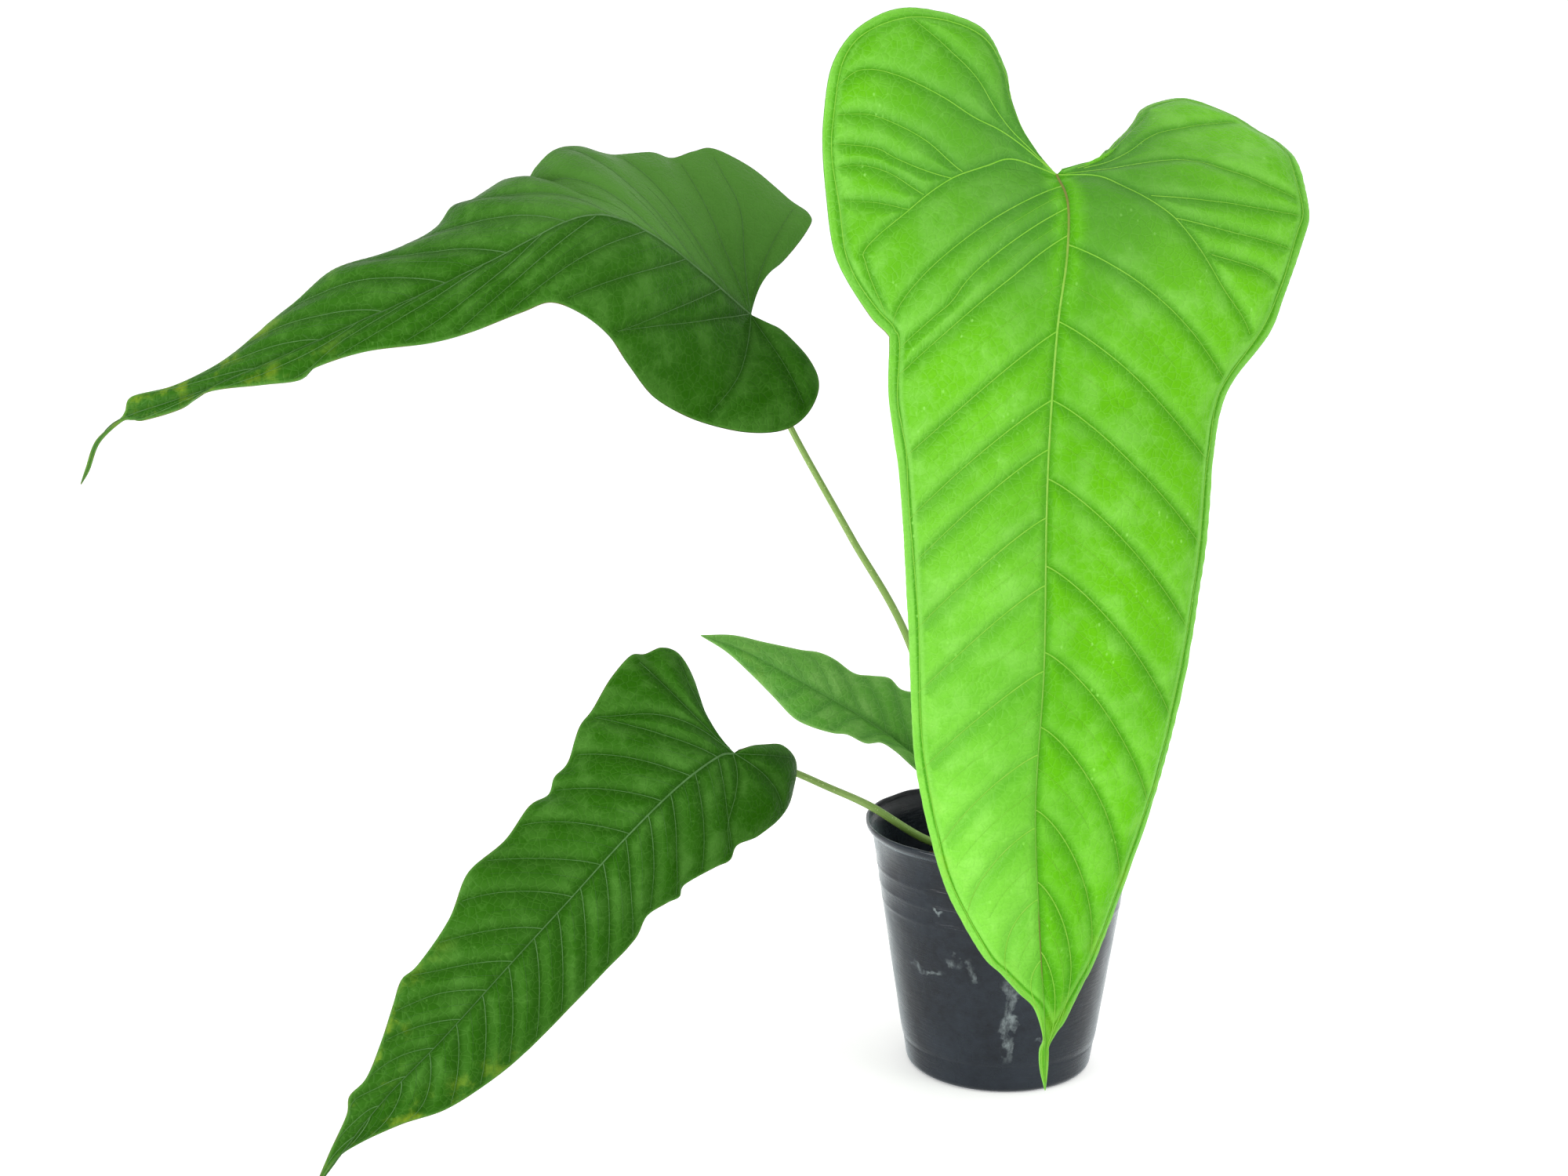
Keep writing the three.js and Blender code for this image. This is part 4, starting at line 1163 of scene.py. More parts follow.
# how the ages differ: shares of the skin's effects, how much it mirrors, how the ribs stand out
# Pale_half, Relief and Fold scale painted sheen, painted vein shade and highlight, and margin ones
AGES = {
    "young": {
        "skin": {"Pale_half": 0.68, "Yellowing": 0.2, "Flecks": 0.8, "Fold": 1.0, "Relief": 0.38},
        "mirror": 0.07, "ribs": 0.6,
    },
    "mature": {
        "skin": {"Pale_half": 0.1, "Yellowing": 0.5, "Flecks": 0.4, "Fold": 0.1, "Relief": 0.3},
        "mirror": 0.04, "ribs": 0.36,
    },
    "middle": {
        "skin": {"Pale_half": 0.3, "Yellowing": 0.1, "Flecks": 0.4, "Fold": 0.1, "Relief": 0.1},
        "mirror": 0.08, "ribs": 0.3,
    },
}


class Blade:
    """One blade: the middle surface spanned by its rows, its veins, and its relief."""

    def __init__(self, name, sizes, top):
        leaf = LEAVES[name]
        self.name, self.leaf, self.sizes = name, leaf, sizes
        self.base = np.array(leaf["junction"], float) + (0, 0, top / MM)
        dense = np.linspace(0, 1, 2401)
        drawn = spline(leaf["midrib"], dense)
        self.travel = travelled(drawn)
        self.scale = leaf["length"] / self.travel[-1]
        self.dense, self.travel = dense, self.travel / self.travel[-1]
        self.facing = unit(np.array(leaf["facing"], float))
        self.rib_of, self.lobe_end = {}, {}
        for side in SIDES:
            rows = np.array(leaf[side]["margin"], float)
            rib = np.maximum.accumulate(spline(rows[:, :1], dense)[:, 0])
            self.rib_of[side] = rib
            self.lobe_end[side] = dense[np.searchsorted(rib, 1e-4) - 1]
        self.plan_columns(sizes.spacing / MM)
        self.plan_grid()

    def margin(self, side, along):
        rows = np.array(self.leaf[side]["margin"], float)
        return spline(rows[:, 1:], along) * self.scale

    def midrib(self, place):
        return spline(self.leaf["midrib"], np.interp(place, self.travel, self.dense)) * self.scale

    def along_of(self, side, place):
        """The margin's share reached by the rib that starts at this place on the midrib."""
        rib = self.rib_of[side]
        sure = self.dense >= self.lobe_end[side]
        return np.interp(place, rib[sure] + 1e-9 * np.arange(sure.sum()), self.dense[sure])

    def plan_columns(self, spacing):
        """Even steps around each lobe, then places on the midrib that both halves share."""
        places = np.linspace(0, 1, 3001)
        steps = [np.linalg.norm(np.diff(self.midrib(places), axis=0), axis=1)]
        for side in SIDES:
            edge = self.margin(side, self.along_of(side, places))
            steps.append(np.linalg.norm(np.diff(edge, axis=0), axis=1))
        cost = np.concatenate([[0], np.cumsum(np.max(steps, axis=0))])
        count = max(int(cost[-1] / spacing), 8)
        shared = np.interp(np.linspace(0, cost[-1], count + 1), cost, places)
        self.along, self.place, self.first_body = {}, {}, {}
        for side in SIDES:
            around = np.linspace(0, self.lobe_end[side], 601)
            run = travelled(self.margin(side, around))
            lobes = max(int(run[-1] / spacing), 8)
            lobe = np.interp(np.linspace(0, run[-1], lobes + 1), run, around)
            self.along[side] = np.concatenate([lobe, self.along_of(side, shared[1:])])
            self.along[side][-1] = 1.0
            self.place[side] = np.concatenate([np.zeros(lobes + 1), shared[1:]])
            self.first_body[side] = lobes
        widest = max(
            np.linalg.norm(self.margin(s, self.along[s]) - self.midrib(self.place[s]), axis=1).max()
            for s in SIDES
        )
        self.across = np.linspace(0, 1, max(int(widest / spacing), 8) + 1)

    def flat(self, side):
        """The middle surface of one half, columns by steps across, from the junction, in mm."""
        half, along, place = self.leaf[side], self.along[side], self.place[side]
        start, end = self.midrib(place), self.margin(side, along)
        chord = end - start
        reach = np.linalg.norm(chord, axis=1, keepdims=True)
        rib = chord / np.maximum(reach, 1e-9)
        up = unit(self.facing - (rib @ self.facing)[:, None] * rib)
        sideways = np.cross(up, rib) * (1 if side == "left" else -1)
        bend = self.leaf["bow"] * np.sin(np.pi * np.sqrt(np.minimum(along / self.leaf["lobe"], 1)))
        middle = (start + end) / 2 + up * half["arch"] * reach + sideways * bend[:, None] * reach
        t = self.across[None, :, None]
        start, middle, end = start[:, None], middle[:, None], end[:, None]
        return (1 - t) ** 2 * start + 2 * t * (1 - t) * middle + t * t * end

    def plan_grid(self):
        """Numbers the corners, so that both halves share the midrib, the junction and the tip."""
        shared = len(self.place["left"]) - self.first_body["left"]
        self.number = {}
        corners = [self.midrib(np.concatenate([[0], self.place["left"][-shared + 1:]]))]
        count = shared
        for side in SIDES:
            surface = self.flat(side)
            columns, steps = surface.shape[:2]
            numbers = np.zeros((columns, steps), int)
            lobes = self.first_body[side]
            numbers[:, 0] = np.maximum(np.arange(columns) - lobes, 0)
            inner = columns - 1
            numbers[:inner, 1:] = count + np.arange(inner * (steps - 1)).reshape(inner, steps - 1)
            numbers[inner] = shared - 1
            corners.append(surface[:inner, 1:].reshape(-1, 3))
            count += inner * (steps - 1)
            self.number[side] = numbers
        self.corners = np.vstack(corners) + self.base
        self.normals = self.measure_normals(self.corners)

    def measure_normals(self, corners):
        total = np.zeros_like(corners)
        for side in SIDES:
            n = self.number[side]
            a, b, c, d = n[:-1, :-1], n[:-1, 1:], n[1:, 1:], n[1:, :-1]
            facing = np.cross(corners[c] - corners[a], corners[d] - corners[b])
            facing *= 1 if side == "left" else -1
            for numbers in (a, b, c, d):
                np.add.at(total, numbers.reshape(-1), facing.reshape(-1, 3))
        return unit(total)

    def vein_lines(self):
        """Every vein as (kind, strength, side, shares along, shares across)."""
        lines = []
        for side in SIDES:
            half = self.leaf[side]
            for strength, *points in half["veins"]:
                drawn = spline(points, np.linspace(0, 1, 90))
                lines.append(("branch", strength, side, drawn[:, 0], np.clip(drawn[:, 1], 0, 0.97)))
            t = np.linspace(0, 0.94, 90)
            starts = half["laterals"]
            for i, start in enumerate(starts):
                least, growth, curve = half["sweep"]
                ahead = least + growth * start
                place = np.minimum(start + ahead * (t / 0.94) ** curve, 0.985)
                lines.append(("lateral", 0.85, side, self.along_of(side, place), t))
                later = starts[i + 1] if i + 1 < len(starts) else start + 0.07
                middle = (start + later) / 2
                short = np.linspace(0, 0.62 + 0.2 * math.sin(5 * i), 60)
                place = np.minimum(middle + ahead * (short / 0.94) ** curve, 0.985)
                lines.append(("minor", 0.4, side, self.along_of(side, place), short))
            along = np.linspace(0.12 * self.lobe_end[side], 0.985, 420)
            place = np.interp(along, self.dense, self.rib_of[side])
            rib = np.linalg.norm(self.margin(side, along) - self.midrib(place), axis=1)
            wave = 1 + 0.14 * np.sin(along * 95) + 0.07 * np.sin(along * 41)
            across = np.clip(1 - self.sizes.band / MM * wave / np.maximum(rib, 1e-6), 0.55, 1)
            lines.append(("outer", 0.6, side, along, across))
        return lines

    def sample(self, field, side, along, across):
        """A field stored per corner, read between the corners of one half."""
        columns = np.interp(along, self.along[side], np.arange(len(self.along[side])))
        steps = np.asarray(across) * (len(self.across) - 1)
        i = np.clip(np.floor(columns).astype(int), 0, len(self.along[side]) - 2)
        j = np.clip(np.floor(steps).astype(int), 0, len(self.across) - 2)
        u, v = (columns - i)[:, None], (steps - j)[:, None]
        grid = field[self.number[side]]
        near = grid[i, j] * (1 - v) + grid[i, j + 1] * v
        far = grid[i + 1, j] * (1 - v) + grid[i + 1, j + 1] * v
        return near * (1 - u) + far * u

    def nearest(self, points):
        """For each corner, the nearest of the points, its number and how far off it is."""
        tree = KDTree(len(points))
        for i, point in enumerate(points):
            tree.insert(point, i)
        tree.balance()
        return [tree.find(corner) for corner in self.corners]

    def distances(self, points, limit):
        return np.minimum([far for place, number, far in self.nearest(points)], limit)

    def side_of(self, points, ahead):
        """Rises to 1 on the tip's side of a vein and falls to -1 behind it; 0 far from the veins."""
        found = self.nearest(points)
        away = self.corners - np.array([place for place, number, far in found])
        far = np.array([far for place, number, far in found])
        slope, fading = 2.4, 3
        value = np.clip((away @ ahead) / slope, -1, 1) * np.exp(-np.maximum(far - slope, 0) / fading)
        return value * smooth_step((self.to_rib - 0.5) / 5)

    def relief(self):
        """Moves the corners: panels bulge between the veins, and the outer band turns back."""
        sizes = self.sizes
        strong, weak = [], []
        self.lines = self.vein_lines()
        for kind, strength, side, along, across in self.lines:
            if kind != "outer" or self.name == "front":
                points = self.sample(self.corners, side, along, across)
                (weak if kind == "minor" else strong).append(points)
        rib = self.midrib(np.linspace(0, 1, 400)) + self.base
        edge = np.vstack([self.margin(s, np.linspace(0, 1, 900)) for s in SIDES]) + self.base
        self.to_vein = self.distances(np.vstack(strong + [rib]), 12)
        self.to_minor = self.distances(np.vstack(weak), 12)
        self.to_rib = self.distances(rib, 60)
        self.near = np.linalg.norm(self.corners - self.base, axis=1)
        ahead = unit(np.array(self.leaf["midrib"][-1], float))
        self.tip_side = self.side_of(np.vstack(strong), ahead)
        self.to_edge = self.distances(edge, 30)
        panel = sizes.panel / MM
        rounding = 0.8
        soft = np.sqrt(self.to_vein ** 2 + rounding) - math.sqrt(rounding)
        bulge = 1 - (1 - np.minimum(soft / panel, 1)) ** 2
        small_panel, small_rise, groove = 3.5, 0.22, 0.5
        crease = 1 - (1 - np.minimum(self.to_minor / small_panel, 1)) ** 2
        band = sizes.band / MM
        outside = np.maximum(1 - self.to_edge / band, 0)
        size = QUILTED[self.name]
        width = np.minimum(self.to_edge / 12, 1)
        height = sizes.quilting / MM * bulge * size * width
        height += small_rise * crease * size * width
        seed = len(self.name) * 3.3
        slow = np.array([wander(p, 34.0, seed) for p in self.corners])
        quick = np.array([wander(p, 11.0, seed + 5) for p in self.corners])
        slim = np.minimum((self.to_edge + self.to_rib) / 20, 1)
        height += sizes.ripple / MM * (1.3 * slow + 0.35 * quick) * slim
        outer = TURNED[self.name] * smooth_step((self.near - 12) / 35)
        height -= sizes.turn / MM * outside * slim * outer
        height -= groove * np.exp(-((self.to_edge - band) / 0.9) ** 2) * slim * outer
        self.corners = self.corners + self.normals * height[:, None]
        self.normals = self.measure_normals(self.corners)

    def reach(self):
        """How far each corner's rib starts down the midrib, below zero around the lobes."""
        value = np.zeros(len(self.corners))
        half = np.full(len(self.corners), 0.5)
        for side in SIDES:
            lobes = self.first_body[side]
            place = self.place[side].copy()
            place[:lobes] = np.linspace(-0.4, 0, lobes)
            numbers = self.number[side][:-1, 1:]
            value[numbers] = place[:-1, None]
            half[numbers] = half_of(side)
            value[self.number[side][lobes:, 0]] = place[lobes:]
        return value, half

    def ribbon(self, build, points, normals, widths, rise, material, **values):
        """A low half-round strip lying on the blade, tapering along its length."""
        tangents = unit(np.gradient(points, axis=0))
        sideways = unit(np.cross(tangents, normals))
        widths = np.asarray(widths)[:, None]
        rise = np.asarray(rise)[:, None]
        lift = normals * rise
        strips = [
            points - sideways * widths - normals * 0.12,
            points - sideways * widths * 0.6 + lift * 0.75,
            points + lift,
            points + sideways * widths * 0.6 + lift * 0.75,
            points + sideways * widths - normals * 0.12,
        ]
        rows = np.stack(strips, 1)
        spread = {k: np.repeat(v, 5) if np.ndim(v) else v for k, v in values.items()}
        numbers = build.points(rows, **spread).reshape(len(points), 5)
        build.grid(numbers, material, turned=True)

    def piece(self, materials):
        self.relief()
        reach, half = self.reach()
        thick = self.sizes.thickness / MM
        build = Build("to_vein", "to_rib", "to_edge", "reach", "half", "rank", "tip_side", "near")
        fields = {"to_vein": self.to_vein, "to_rib": self.to_rib, "to_edge": self.to_edge,
                  "reach": reach, "half": half, "tip_side": self.tip_side, "near": self.near}
        face = build.points(self.corners + self.normals * thick / 2, **fields)
        back = build.points(self.corners - self.normals * thick / 2, **fields)
        for side in SIDES:
            build.grid(face[self.number[side]], 0, turned=side == "right")
            build.grid(back[self.number[side]], 1, turned=side == "left")
        small = VEINED[self.name]
        for kind, strength, side, along, across in self.lines:
            points = self.sample(self.corners, side, along, across)
            normals = unit(self.sample(self.normals, side, along, across))
            keep = np.concatenate([[True], np.diff(travelled(points)) > 0.02])
            points, normals = points[keep], normals[keep]
            if len(points) < 6 or (kind == "outer" and self.name != "front"):
                continue
            run = travelled(points) / max(travelled(points)[-1], 1e-6)
            place = np.interp(along[keep], self.dense, self.rib_of[side])
            slim = {"minor": 0.4, "outer": 0.5}.get(kind, 0.75) * small
            widths = (0.5 * strength * slim) * (1 - 0.6 * run)
            if kind == "outer":
                widths = np.full(len(run), 0.24 * small)
            rank = {"minor": 1.0, "outer": 0.7}.get(kind, 0.4)
            fields = {"reach": place, "rank": rank, "to_edge": 10.0, "half": half_of(side)}
            lift = normals * thick / 2
            rise = 0.1 + widths * 0.25
            self.ribbon(build, points + lift, normals, widths, rise, 2, **fields)
            self.ribbon(build, points - lift, -normals, widths * 1.3, widths * 0.8, 3, **fields)
        shared = self.number["left"][self.first_body["left"]:, 0][:-1]
        points, normals = self.corners[shared], self.normals[shared]
        run = travelled(points) / travelled(points)[-1]
        widths = (0.62 - 0.4 * run) * small
        fields = {"reach": run, "rank": 0.0, "to_edge": 10.0, "half": 0.5}
        lift = normals * thick / 2
        rise = 0.25 * widths + 0.15
        self.ribbon(build, points + lift, normals, widths, rise, 2, **fields)
        keel = (1.5 - 1.15 * run) * small
        self.ribbon(build, points - lift, -normals, keel, keel * 0.95, 3, **fields)
        for side in SIDES:
            numbers = self.number[side][:, -1]
            path = self.corners[numbers]
            keep = np.concatenate([[True], np.linalg.norm(np.diff(path, axis=0), axis=1) > 0.02])
            radii = np.full(keep.sum(), self.sizes.cord / MM)
            radii[:12] *= np.linspace(1.4, 1, 12)
            fields = {"reach": reach[numbers][keep], "half": half_of(side)}
            tube(build, path[keep], radii, 7, 4, rank=0.0, to_edge=0.0, **fields)
        return build.object("leaf_blade_%s_veined" % self.name, materials)


def blade_materials(sizes, age):
    """The five finishes of a blade: face, back, veins above, veins below, and the edge."""
    found = bpy.data.materials.get("Leaf face " + age)
    names = ["Leaf face ", "Leaf back ", "Leaf veins ", "Leaf back veins ", "Leaf edge "]
    if found:
        return [bpy.data.materials[name + age] for name in names]
    main = tuple(getattr(sizes, age))
    deep_and_shade = tuple(getattr(sizes, age + "_deep"))
    pale = tuple(getattr(sizes, age + "_pale"))
    look = AGES[age]
    made = []

    material, graph, shader = new_material(names[0] + age)
    tones = {"Main": main, "Deep": deep_and_shade, "Pale": pale, "Yellow": sizes.yellow}
    skin = graph.group(leaf_skin_group(), **tones, **look["skin"])
    tone = skin["Color"]
    if age == "young":
        fresher = graph.mix(1.0, tone, (1.02, 1.1, 0.85), "MULTIPLY")
        tone = graph.mix(graph.fade(graph.attribute("reach"), 0.3, 0.75), tone, fresher)
        close = graph.fade(graph.attribute("near"), 95.0, 8.0)
        shade = graph.times(close, graph.fade(graph.attribute("to_rib"), 1.5, 9.0))
        tone = graph.mix(graph.times(shade, 0.62), tone, sizes.shade)
        tone = graph.mix(graph.fade(graph.attribute("reach"), 0.925, 0.955, 0.0, 0.5), tone, deep_and_shade)
        tone = graph.mix(graph.fade(graph.attribute("to_rib"), 24.0, 7.0, 0.0, 0.24), tone, deep_and_shade)
    if age == "mature":
        # painted light from above: old blades paler high up, mostly on the left half near the junction
        height = graph.apart(graph.place())[2]
        left = graph.fade(graph.attribute("half"), 0.55, 0.35, 0.1, 0.75)
        upper = graph.times(graph.fade(height, 0.3, 0.38), left)
        upper = graph.times(upper, graph.fade(graph.attribute("near"), 75.0, 135.0, 1.0, 0.0))
        tone = graph.mix(upper, tone, pale)
    # painted shade in the groove along the midrib
    rib = graph.attribute("to_rib")
    tone = graph.mix(graph.fade(rib, 3.0, 0.6, 0.0, 0.25), tone, deep_and_shade)
    edge = graph.attribute("to_edge")
    tone = graph.mix(graph.fade(edge, 1.4, 0.2, 0.0, 0.5), tone, pale)
    finish(
        graph, shader, tone,
        skin["Roughness"], look["mirror"],
    )
    bump(graph, shader, skin["Height"], 0.0009, 0.35)
    made.append(material)

    material, graph, shader = new_material(names[1] + age)
    back = tuple(0.55 * a + 0.45 * b for a, b in zip(sizes.back, pale))
    skin = graph.group(
        leaf_skin_group(), Main=back, Deep=main, Pale=back, Yellow=sizes.yellow,
        Pale_half=0.0, Yellowing=look["skin"]["Yellowing"], Flecks=0.2,
    )
    finish(graph, shader, skin["Color"], graph.plus(skin["Roughness"], 0.2), 0.2)
    bump(graph, shader, skin["Height"], 0.0009, 0.5)
    made.append(material)

    for name, share_of_rib in ((names[2], 0.55), (names[3], 0.75)):
        material, graph, shader = new_material(name + age)
        place = graph.place()
        rank = graph.attribute("rank")
        reach = graph.attribute("reach")
        strong = look["ribs"]
        thin = graph.fade(rank, 0.0, 0.5, strong, strong * share_of_rib)
        ridge = graph.mix(thin, main, sizes.rib if age == "young" else sizes.old_rib)
        uneven = graph.noise(place, 260.0, 4.0, 0.65)
        ridge = graph.mix(graph.fade(uneven, 0.4, 0.65, 0.0, 0.45), ridge, main)
        if name == names[2]:
            lower = graph.times(graph.fade(rank, 0.25, 0.0), graph.fade(reach, 0.25, 0.7, 0.15, 0.65))
            ridge = graph.mix(lower, ridge, deep_and_shade)
        if age == "young" and name == names[2]:
            browned = graph.times(graph.fade(reach, 0.16, 0.02), graph.fade(rank, 0.25, 0.0))
            streak = graph.times(graph.fade(reach, 0.79, 0.81), graph.fade(reach, 0.88, 0.86))
            streak = graph.times(streak, graph.fade(rank, 0.25, 0.0))
            browned = graph.math("MAXIMUM", graph.times(browned, 0.75), graph.times(streak, 0.6))
            ridge = graph.mix(browned, ridge, sizes.brown)
        finish(graph, shader, ridge, graph.fade(uneven, 0.3, 0.7, 0.4, 0.6), 0.25)
        bump(graph, shader, uneven, 0.0004, 0.4)
        made.append(material)

    material, graph, shader = new_material(names[4] + age)
    reach = graph.attribute("reach")
    broken = graph.noise(graph.place(), 85.0, 4.0, 0.6)
    notch = graph.times(graph.fade(reach, 0.06, 0.09), graph.fade(reach, 0.14, 0.1))
    notch = graph.times(notch, graph.fade(graph.attribute("half"), 0.6, 0.4))
    bruised = graph.times(graph.fade(broken, 0.2, 0.45), notch)
    if age == "mature":
        bruised = graph.fade(broken, 0.42, 0.66, 0.05, 0.55)
    rim = graph.mix(graph.fade(reach, -0.05, 0.3, 0.0, 0.75), deep_and_shade, pale)
    tone = graph.mix(bruised, rim, sizes.brown)
    finish(graph, shader, tone, graph.fade(broken, 0.3, 0.7, 0.45, 0.65), 0.25)
    made.append(material)
    return made


def make_blades(sizes, crown):
    top = soil_top(crown)
    for name, leaf in LEAVES.items():
        blade = Blade(name, sizes, top)
        piece = blade.piece(blade_materials(sizes, leaf["age"]))
        finish_piece(piece, "leaf_blade_" + name)


# ---------------------------------------------------------------- leaf stalks
def stalk_material(stalk):
    material, graph, shader = new_material("Stalk skin")
    rise = graph.attribute("rise")
    turn = graph.attribute("turn")
    place = graph.place()
    tone = graph.mix(graph.fade(rise, 0.0, 0.45), stalk.foot, stalk.body)
    lines = graph.add("ShaderNodeCombineXYZ", {0: graph.times(turn, 9.0), 1: graph.times(rise, 5.0)})
    streaks = graph.noise(lines.outputs[0], 1.6, 4.0, 0.6)
    tone = graph.mix(graph.fade(streaks, 0.4, 0.65, 0.0, 0.55), tone, stalk.shade)
    flecks = graph.fade(graph.cells(place, 520.0), 0.2, 0.1, 0.0, 0.6)
    tone = graph.mix(flecks, tone, stalk.fleck)
    joint = graph.fade(rise, 0.955, 0.985, 0.0, 0.45)
    tone = graph.mix(joint, tone, stalk.foot)
    finish(graph, shader, tone, graph.fade(streaks, 0.3, 0.7, 0.38, 0.5), 0.3)
    bump(graph, shader, streaks, 0.0006, 0.4)
    return material


def make_stalks(stalk, sizes, crown):
    top = soil_top(crown) / MM
    ring = stalk_circle(stalk) / MM
    material = stalk_material(stalk)
    for order, name in enumerate(LEAVES):
        leaf = LEAVES[name]
        blade = Blade(name, sizes, soil_top(crown))
        normal = blade.normals[0]
        angle = -2 * math.pi * (order + 0.5) / len(LEAVES)
        foot = np.array([ring * math.cos(angle), ring * math.sin(angle), crown.rise / MM - 1.5])
        raised = foot + (0, 0, stalk.upright / MM + 1.8)
        junction = np.array(leaf["junction"], float)
        near = junction - normal * stalk.approach / MM
        end = junction - normal * (sizes.thickness / MM * 0.5 + 0.4)
        points = [foot, raised, *leaf["stalk"], near, end]
        fine = spline(points, np.linspace(0, 1, 1200))
        run = travelled(fine)
        count = max(int(run[-1] / 1.6), 30)
        even = np.interp(np.linspace(0, run[-1], count), run, np.linspace(0, 1, 1200))
        path = spline(points, even) + (0, 0, top)
        gone = np.linspace(0, run[-1], count)
        left = run[-1] - gone
        radii = stalk.base_radius / MM + (stalk.tip_radius - stalk.base_radius) / MM * gone / run[-1]
        radii = radii * (1 + 0.28 * np.exp(-gone / 5))
        radii = radii * (1 + stalk.swelling * np.exp(-((left - 7) / 5) ** 2))
        radii = radii * np.where(left < 2, 0.9, 1.0)
        sides = 20
        angles = np.linspace(0, 2 * math.pi, sides, endpoint=False)
        flutes = 0.03 * np.cos(angles * 5)[None] + 0.012 * np.cos(angles * 9)[None]
        fluted = radii[:, None] * (1 + flutes)
        uneven = np.array([wander(p, 14.0, order + 1.0) for p in path])
        fluted *= 1 + 0.035 * uneven[:, None]
        build = Build("rise", "turn")
        rows = tube(build, path, fluted, sides, rise=gone / run[-1])
        turns = np.zeros(build.count)
        turns[rows] = np.abs(np.linspace(-1, 1, sides, endpoint=False))[None]
        build.attributes["turn"] = [turns]
        piece = build.object("leaf_stalk_%s_fluted" % name, [material])
        finish_piece(piece, "leaf_stalk_" + name)


# ---------------------------------------------------------------- stage
def make_stage(stage):
    scene = bpy.context.scene
    floor = Build()
    span = np.linspace(-4000, 4000, 17)
    rows = floor.points([(x, y, 0.0) for x in span for y in span]).reshape(17, 17)
    floor.grid(rows, turned=True)
    material, graph, shader = new_material("Pale floor")
    soft = graph.noise(graph.place(), 3.0, 2.0)
    tone = graph.mix(graph.fade(soft, 0.3, 0.7, 0.0, 0.06), stage.floor, (0.8, 0.8, 0.8))
    finish(graph, shader, tone, graph.fade(soft, 0.3, 0.7, 0.85, 0.95), 0.1)
    shader.inputs["Emission Color"].default_value = (1.0, 1.0, 1.0, 1.0)
    shader.inputs["Emission Strength"].default_value = stage.glow
    floor.object("floor", [material])

    world = bpy.data.worlds.new("Studio")
    world.use_nodes = True
    world.node_tree.nodes["Background"].inputs[0].default_value = (1.0, 1.0, 1.0, 1.0)
    world.node_tree.nodes["Background"].inputs[1].default_value = stage.sky
    scene.world = world
    for name, place, size, power in (
        ("key", (-1.35, -1.0, 0.2), 0.6, stage.key), ("fill", (0.9, -1.0, 1.2), 0.9, stage.fill),
    ):
        lamp = bpy.data.lights.new(name, "AREA")
        lamp.size = size
        lamp.energy = power
        light = bpy.data.objects.new(name, lamp)
        light.location = place
        aim = Vector((-0.1, 0.0, 0.2)) - Vector(place)
        light.rotation_euler = aim.to_track_quat("-Z", "Y").to_euler()
        scene.collection.objects.link(light)

    lens = bpy.data.cameras.new("camera")
    lens.lens = stage.lens
    lens.sensor_width = 36.0
    lens.clip_end = 50.0
    camera = bpy.data.objects.new("camera", lens)
    camera.location = (-0.0959, -0.923, 0.387)
    camera.rotation_euler = (math.radians(79.4), 0.0, 0.0)
    scene.collection.objects.link(camera)
    scene.camera = camera
    scene.view_settings.view_transform = "Standard"


# ---------------------------------------------------------------- operators and panel
class PLANT_OT_stage(bpy.types.Operator):
    """Floor, soft light and camera"""
    bl_idname = "plant.stage"
    bl_label = "Stage"

    def execute(self, context):
        make_stage(context.scene.potted_plant.stage)
        return {"FINISHED"}


class PLANT_OT_pot(bpy.types.Operator):
    """Thin nursery pot with its lip, rings, foot and drain holes"""
    bl_idname = "plant.pot"
    bl_label = "Nursery pot"

    def execute(self, context):
        make_pot(context.scene.potted_plant.pot)
        return {"FINISHED"}


class PLANT_OT_mix(bpy.types.Operator):
    """Potting mix with bark chips and pale grains"""
    bl_idname = "plant.mix"
    bl_label = "Potting mix"

    def execute(self, context):
        plant = context.scene.potted_plant
        make_mix(plant.pot, plant.mix, plant.crown)
        return {"FINISHED"}


class PLANT_OT_crown(bpy.types.Operator):
    """Short stem with dry sheaths and roots"""
    bl_idname = "plant.crown"
    bl_label = "Crown"

    def execute(self, context):
        plant = context.scene.potted_plant
        make_crown(plant.crown, plant.stalk)
        return {"FINISHED"}


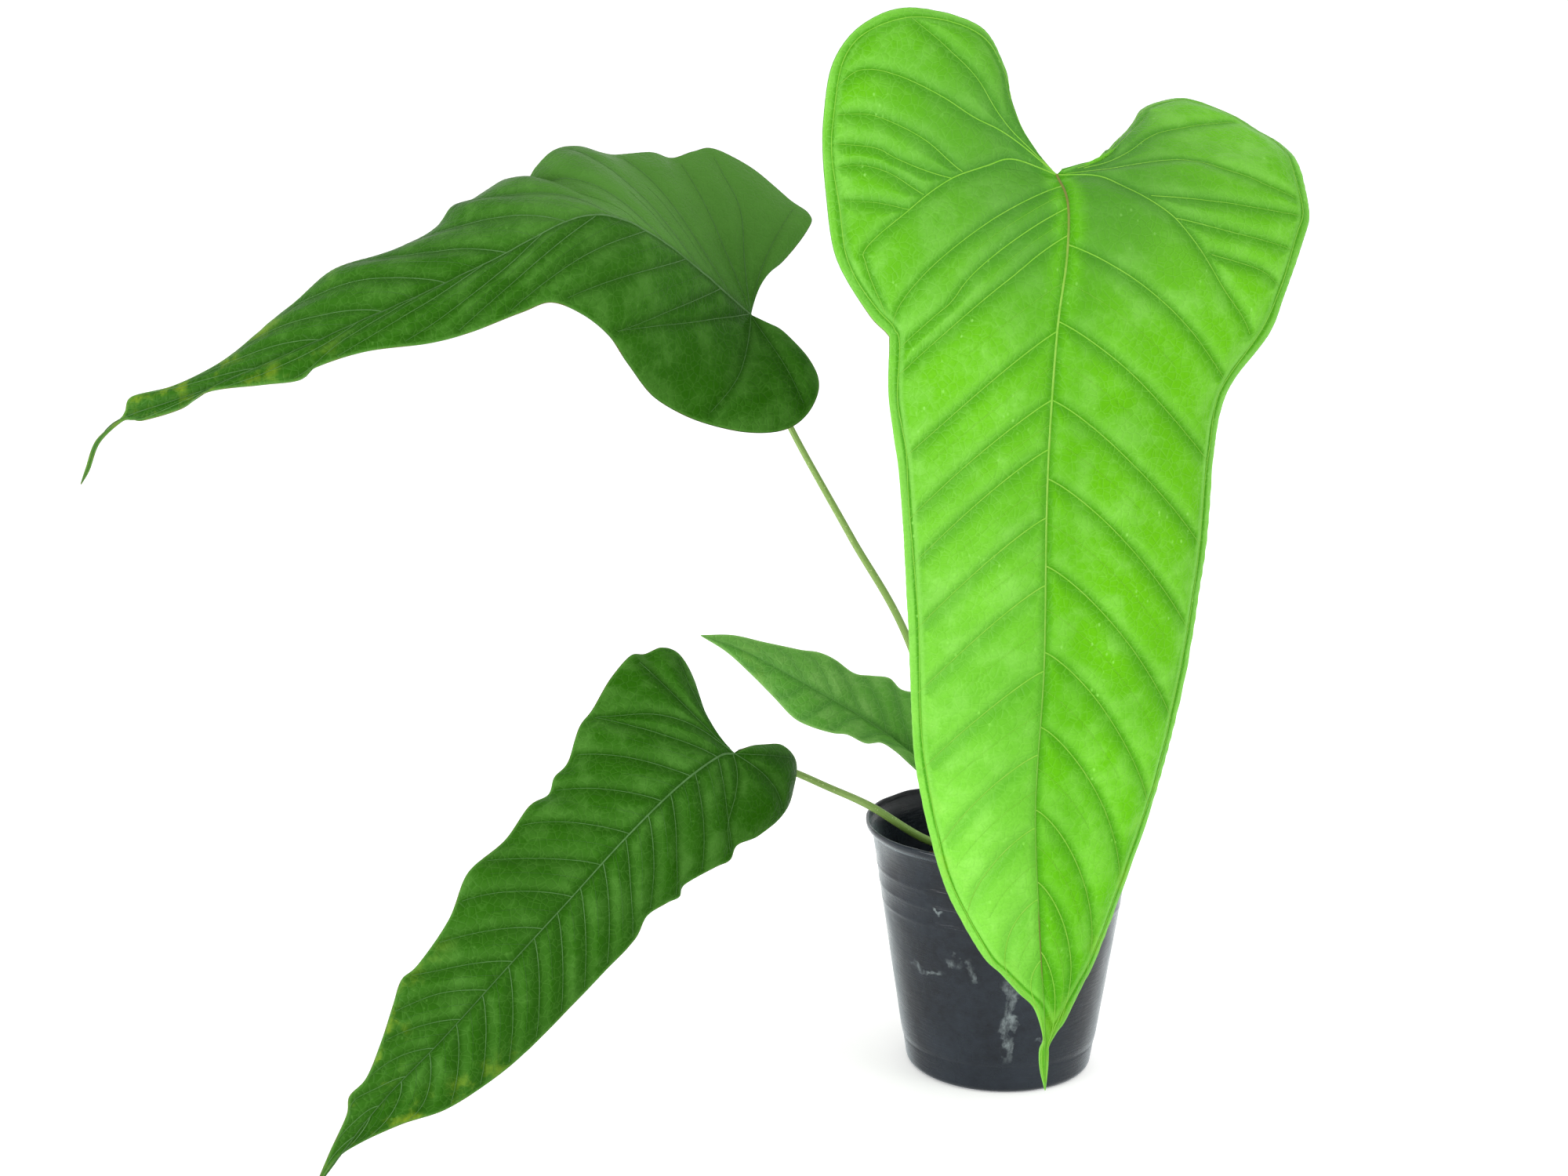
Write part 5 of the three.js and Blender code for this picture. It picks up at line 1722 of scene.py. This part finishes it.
class PLANT_OT_stalks(bpy.types.Operator):
    """Four leaf stalks, each with a swelling behind its blade"""
    bl_idname = "plant.stalks"
    bl_label = "Leaf stalks"

    def execute(self, context):
        plant = context.scene.potted_plant
        make_stalks(plant.stalk, plant.blade, plant.crown)
        return {"FINISHED"}


class PLANT_OT_blades(bpy.types.Operator):
    """Four heart-shaped blades with quilted panels and veins"""
    bl_idname = "plant.blades"
    bl_label = "Leaf blades"

    def execute(self, context):
        plant = context.scene.potted_plant
        make_blades(plant.blade, plant.crown)
        return {"FINISHED"}


class PLANT_PT_panel(bpy.types.Panel):
    """The plant's pieces and their sizes"""
    bl_idname = "PLANT_PT_panel"
    bl_label = "Potted anthurium"
    bl_space_type = "VIEW_3D"
    bl_region_type = "UI"
    bl_category = "Anthurium"

    def draw(self, context):
        plant = context.scene.potted_plant
        for operator, group in (
            ("plant.stage", "stage"), ("plant.pot", "pot"), ("plant.mix", "mix"),
            ("plant.crown", "crown"), ("plant.stalks", "stalk"), ("plant.blades", "blade"),
        ):
            box = self.layout.box()
            box.operator(operator)
            settings = getattr(plant, group)
            for key in settings.bl_rna.properties.keys():
                if key not in {"rna_type", "name"}:
                    box.prop(settings, key)


CLASSES = (
    PotSettings, MixSettings, CrownSettings, StalkSettings, BladeSettings, StageSettings,
    PlantSettings, PLANT_OT_stage, PLANT_OT_pot, PLANT_OT_mix, PLANT_OT_crown, PLANT_OT_stalks,
    PLANT_OT_blades, PLANT_PT_panel,
)


def register():
    for cls in CLASSES:
        bpy.utils.register_class(cls)
    bpy.types.Scene.potted_plant = PointerProperty(type=PlantSettings)


def unregister():
    del bpy.types.Scene.potted_plant
    for cls in reversed(CLASSES):
        bpy.utils.unregister_class(cls)


def main():
    register()
    bpy.ops.plant.stage()
    bpy.ops.plant.pot()
    bpy.ops.plant.mix()
    bpy.ops.plant.crown()
    bpy.ops.plant.stalks()
    bpy.ops.plant.blades()
    bpy.context.view_layer.update()


if __name__ == "__main__":
    main()
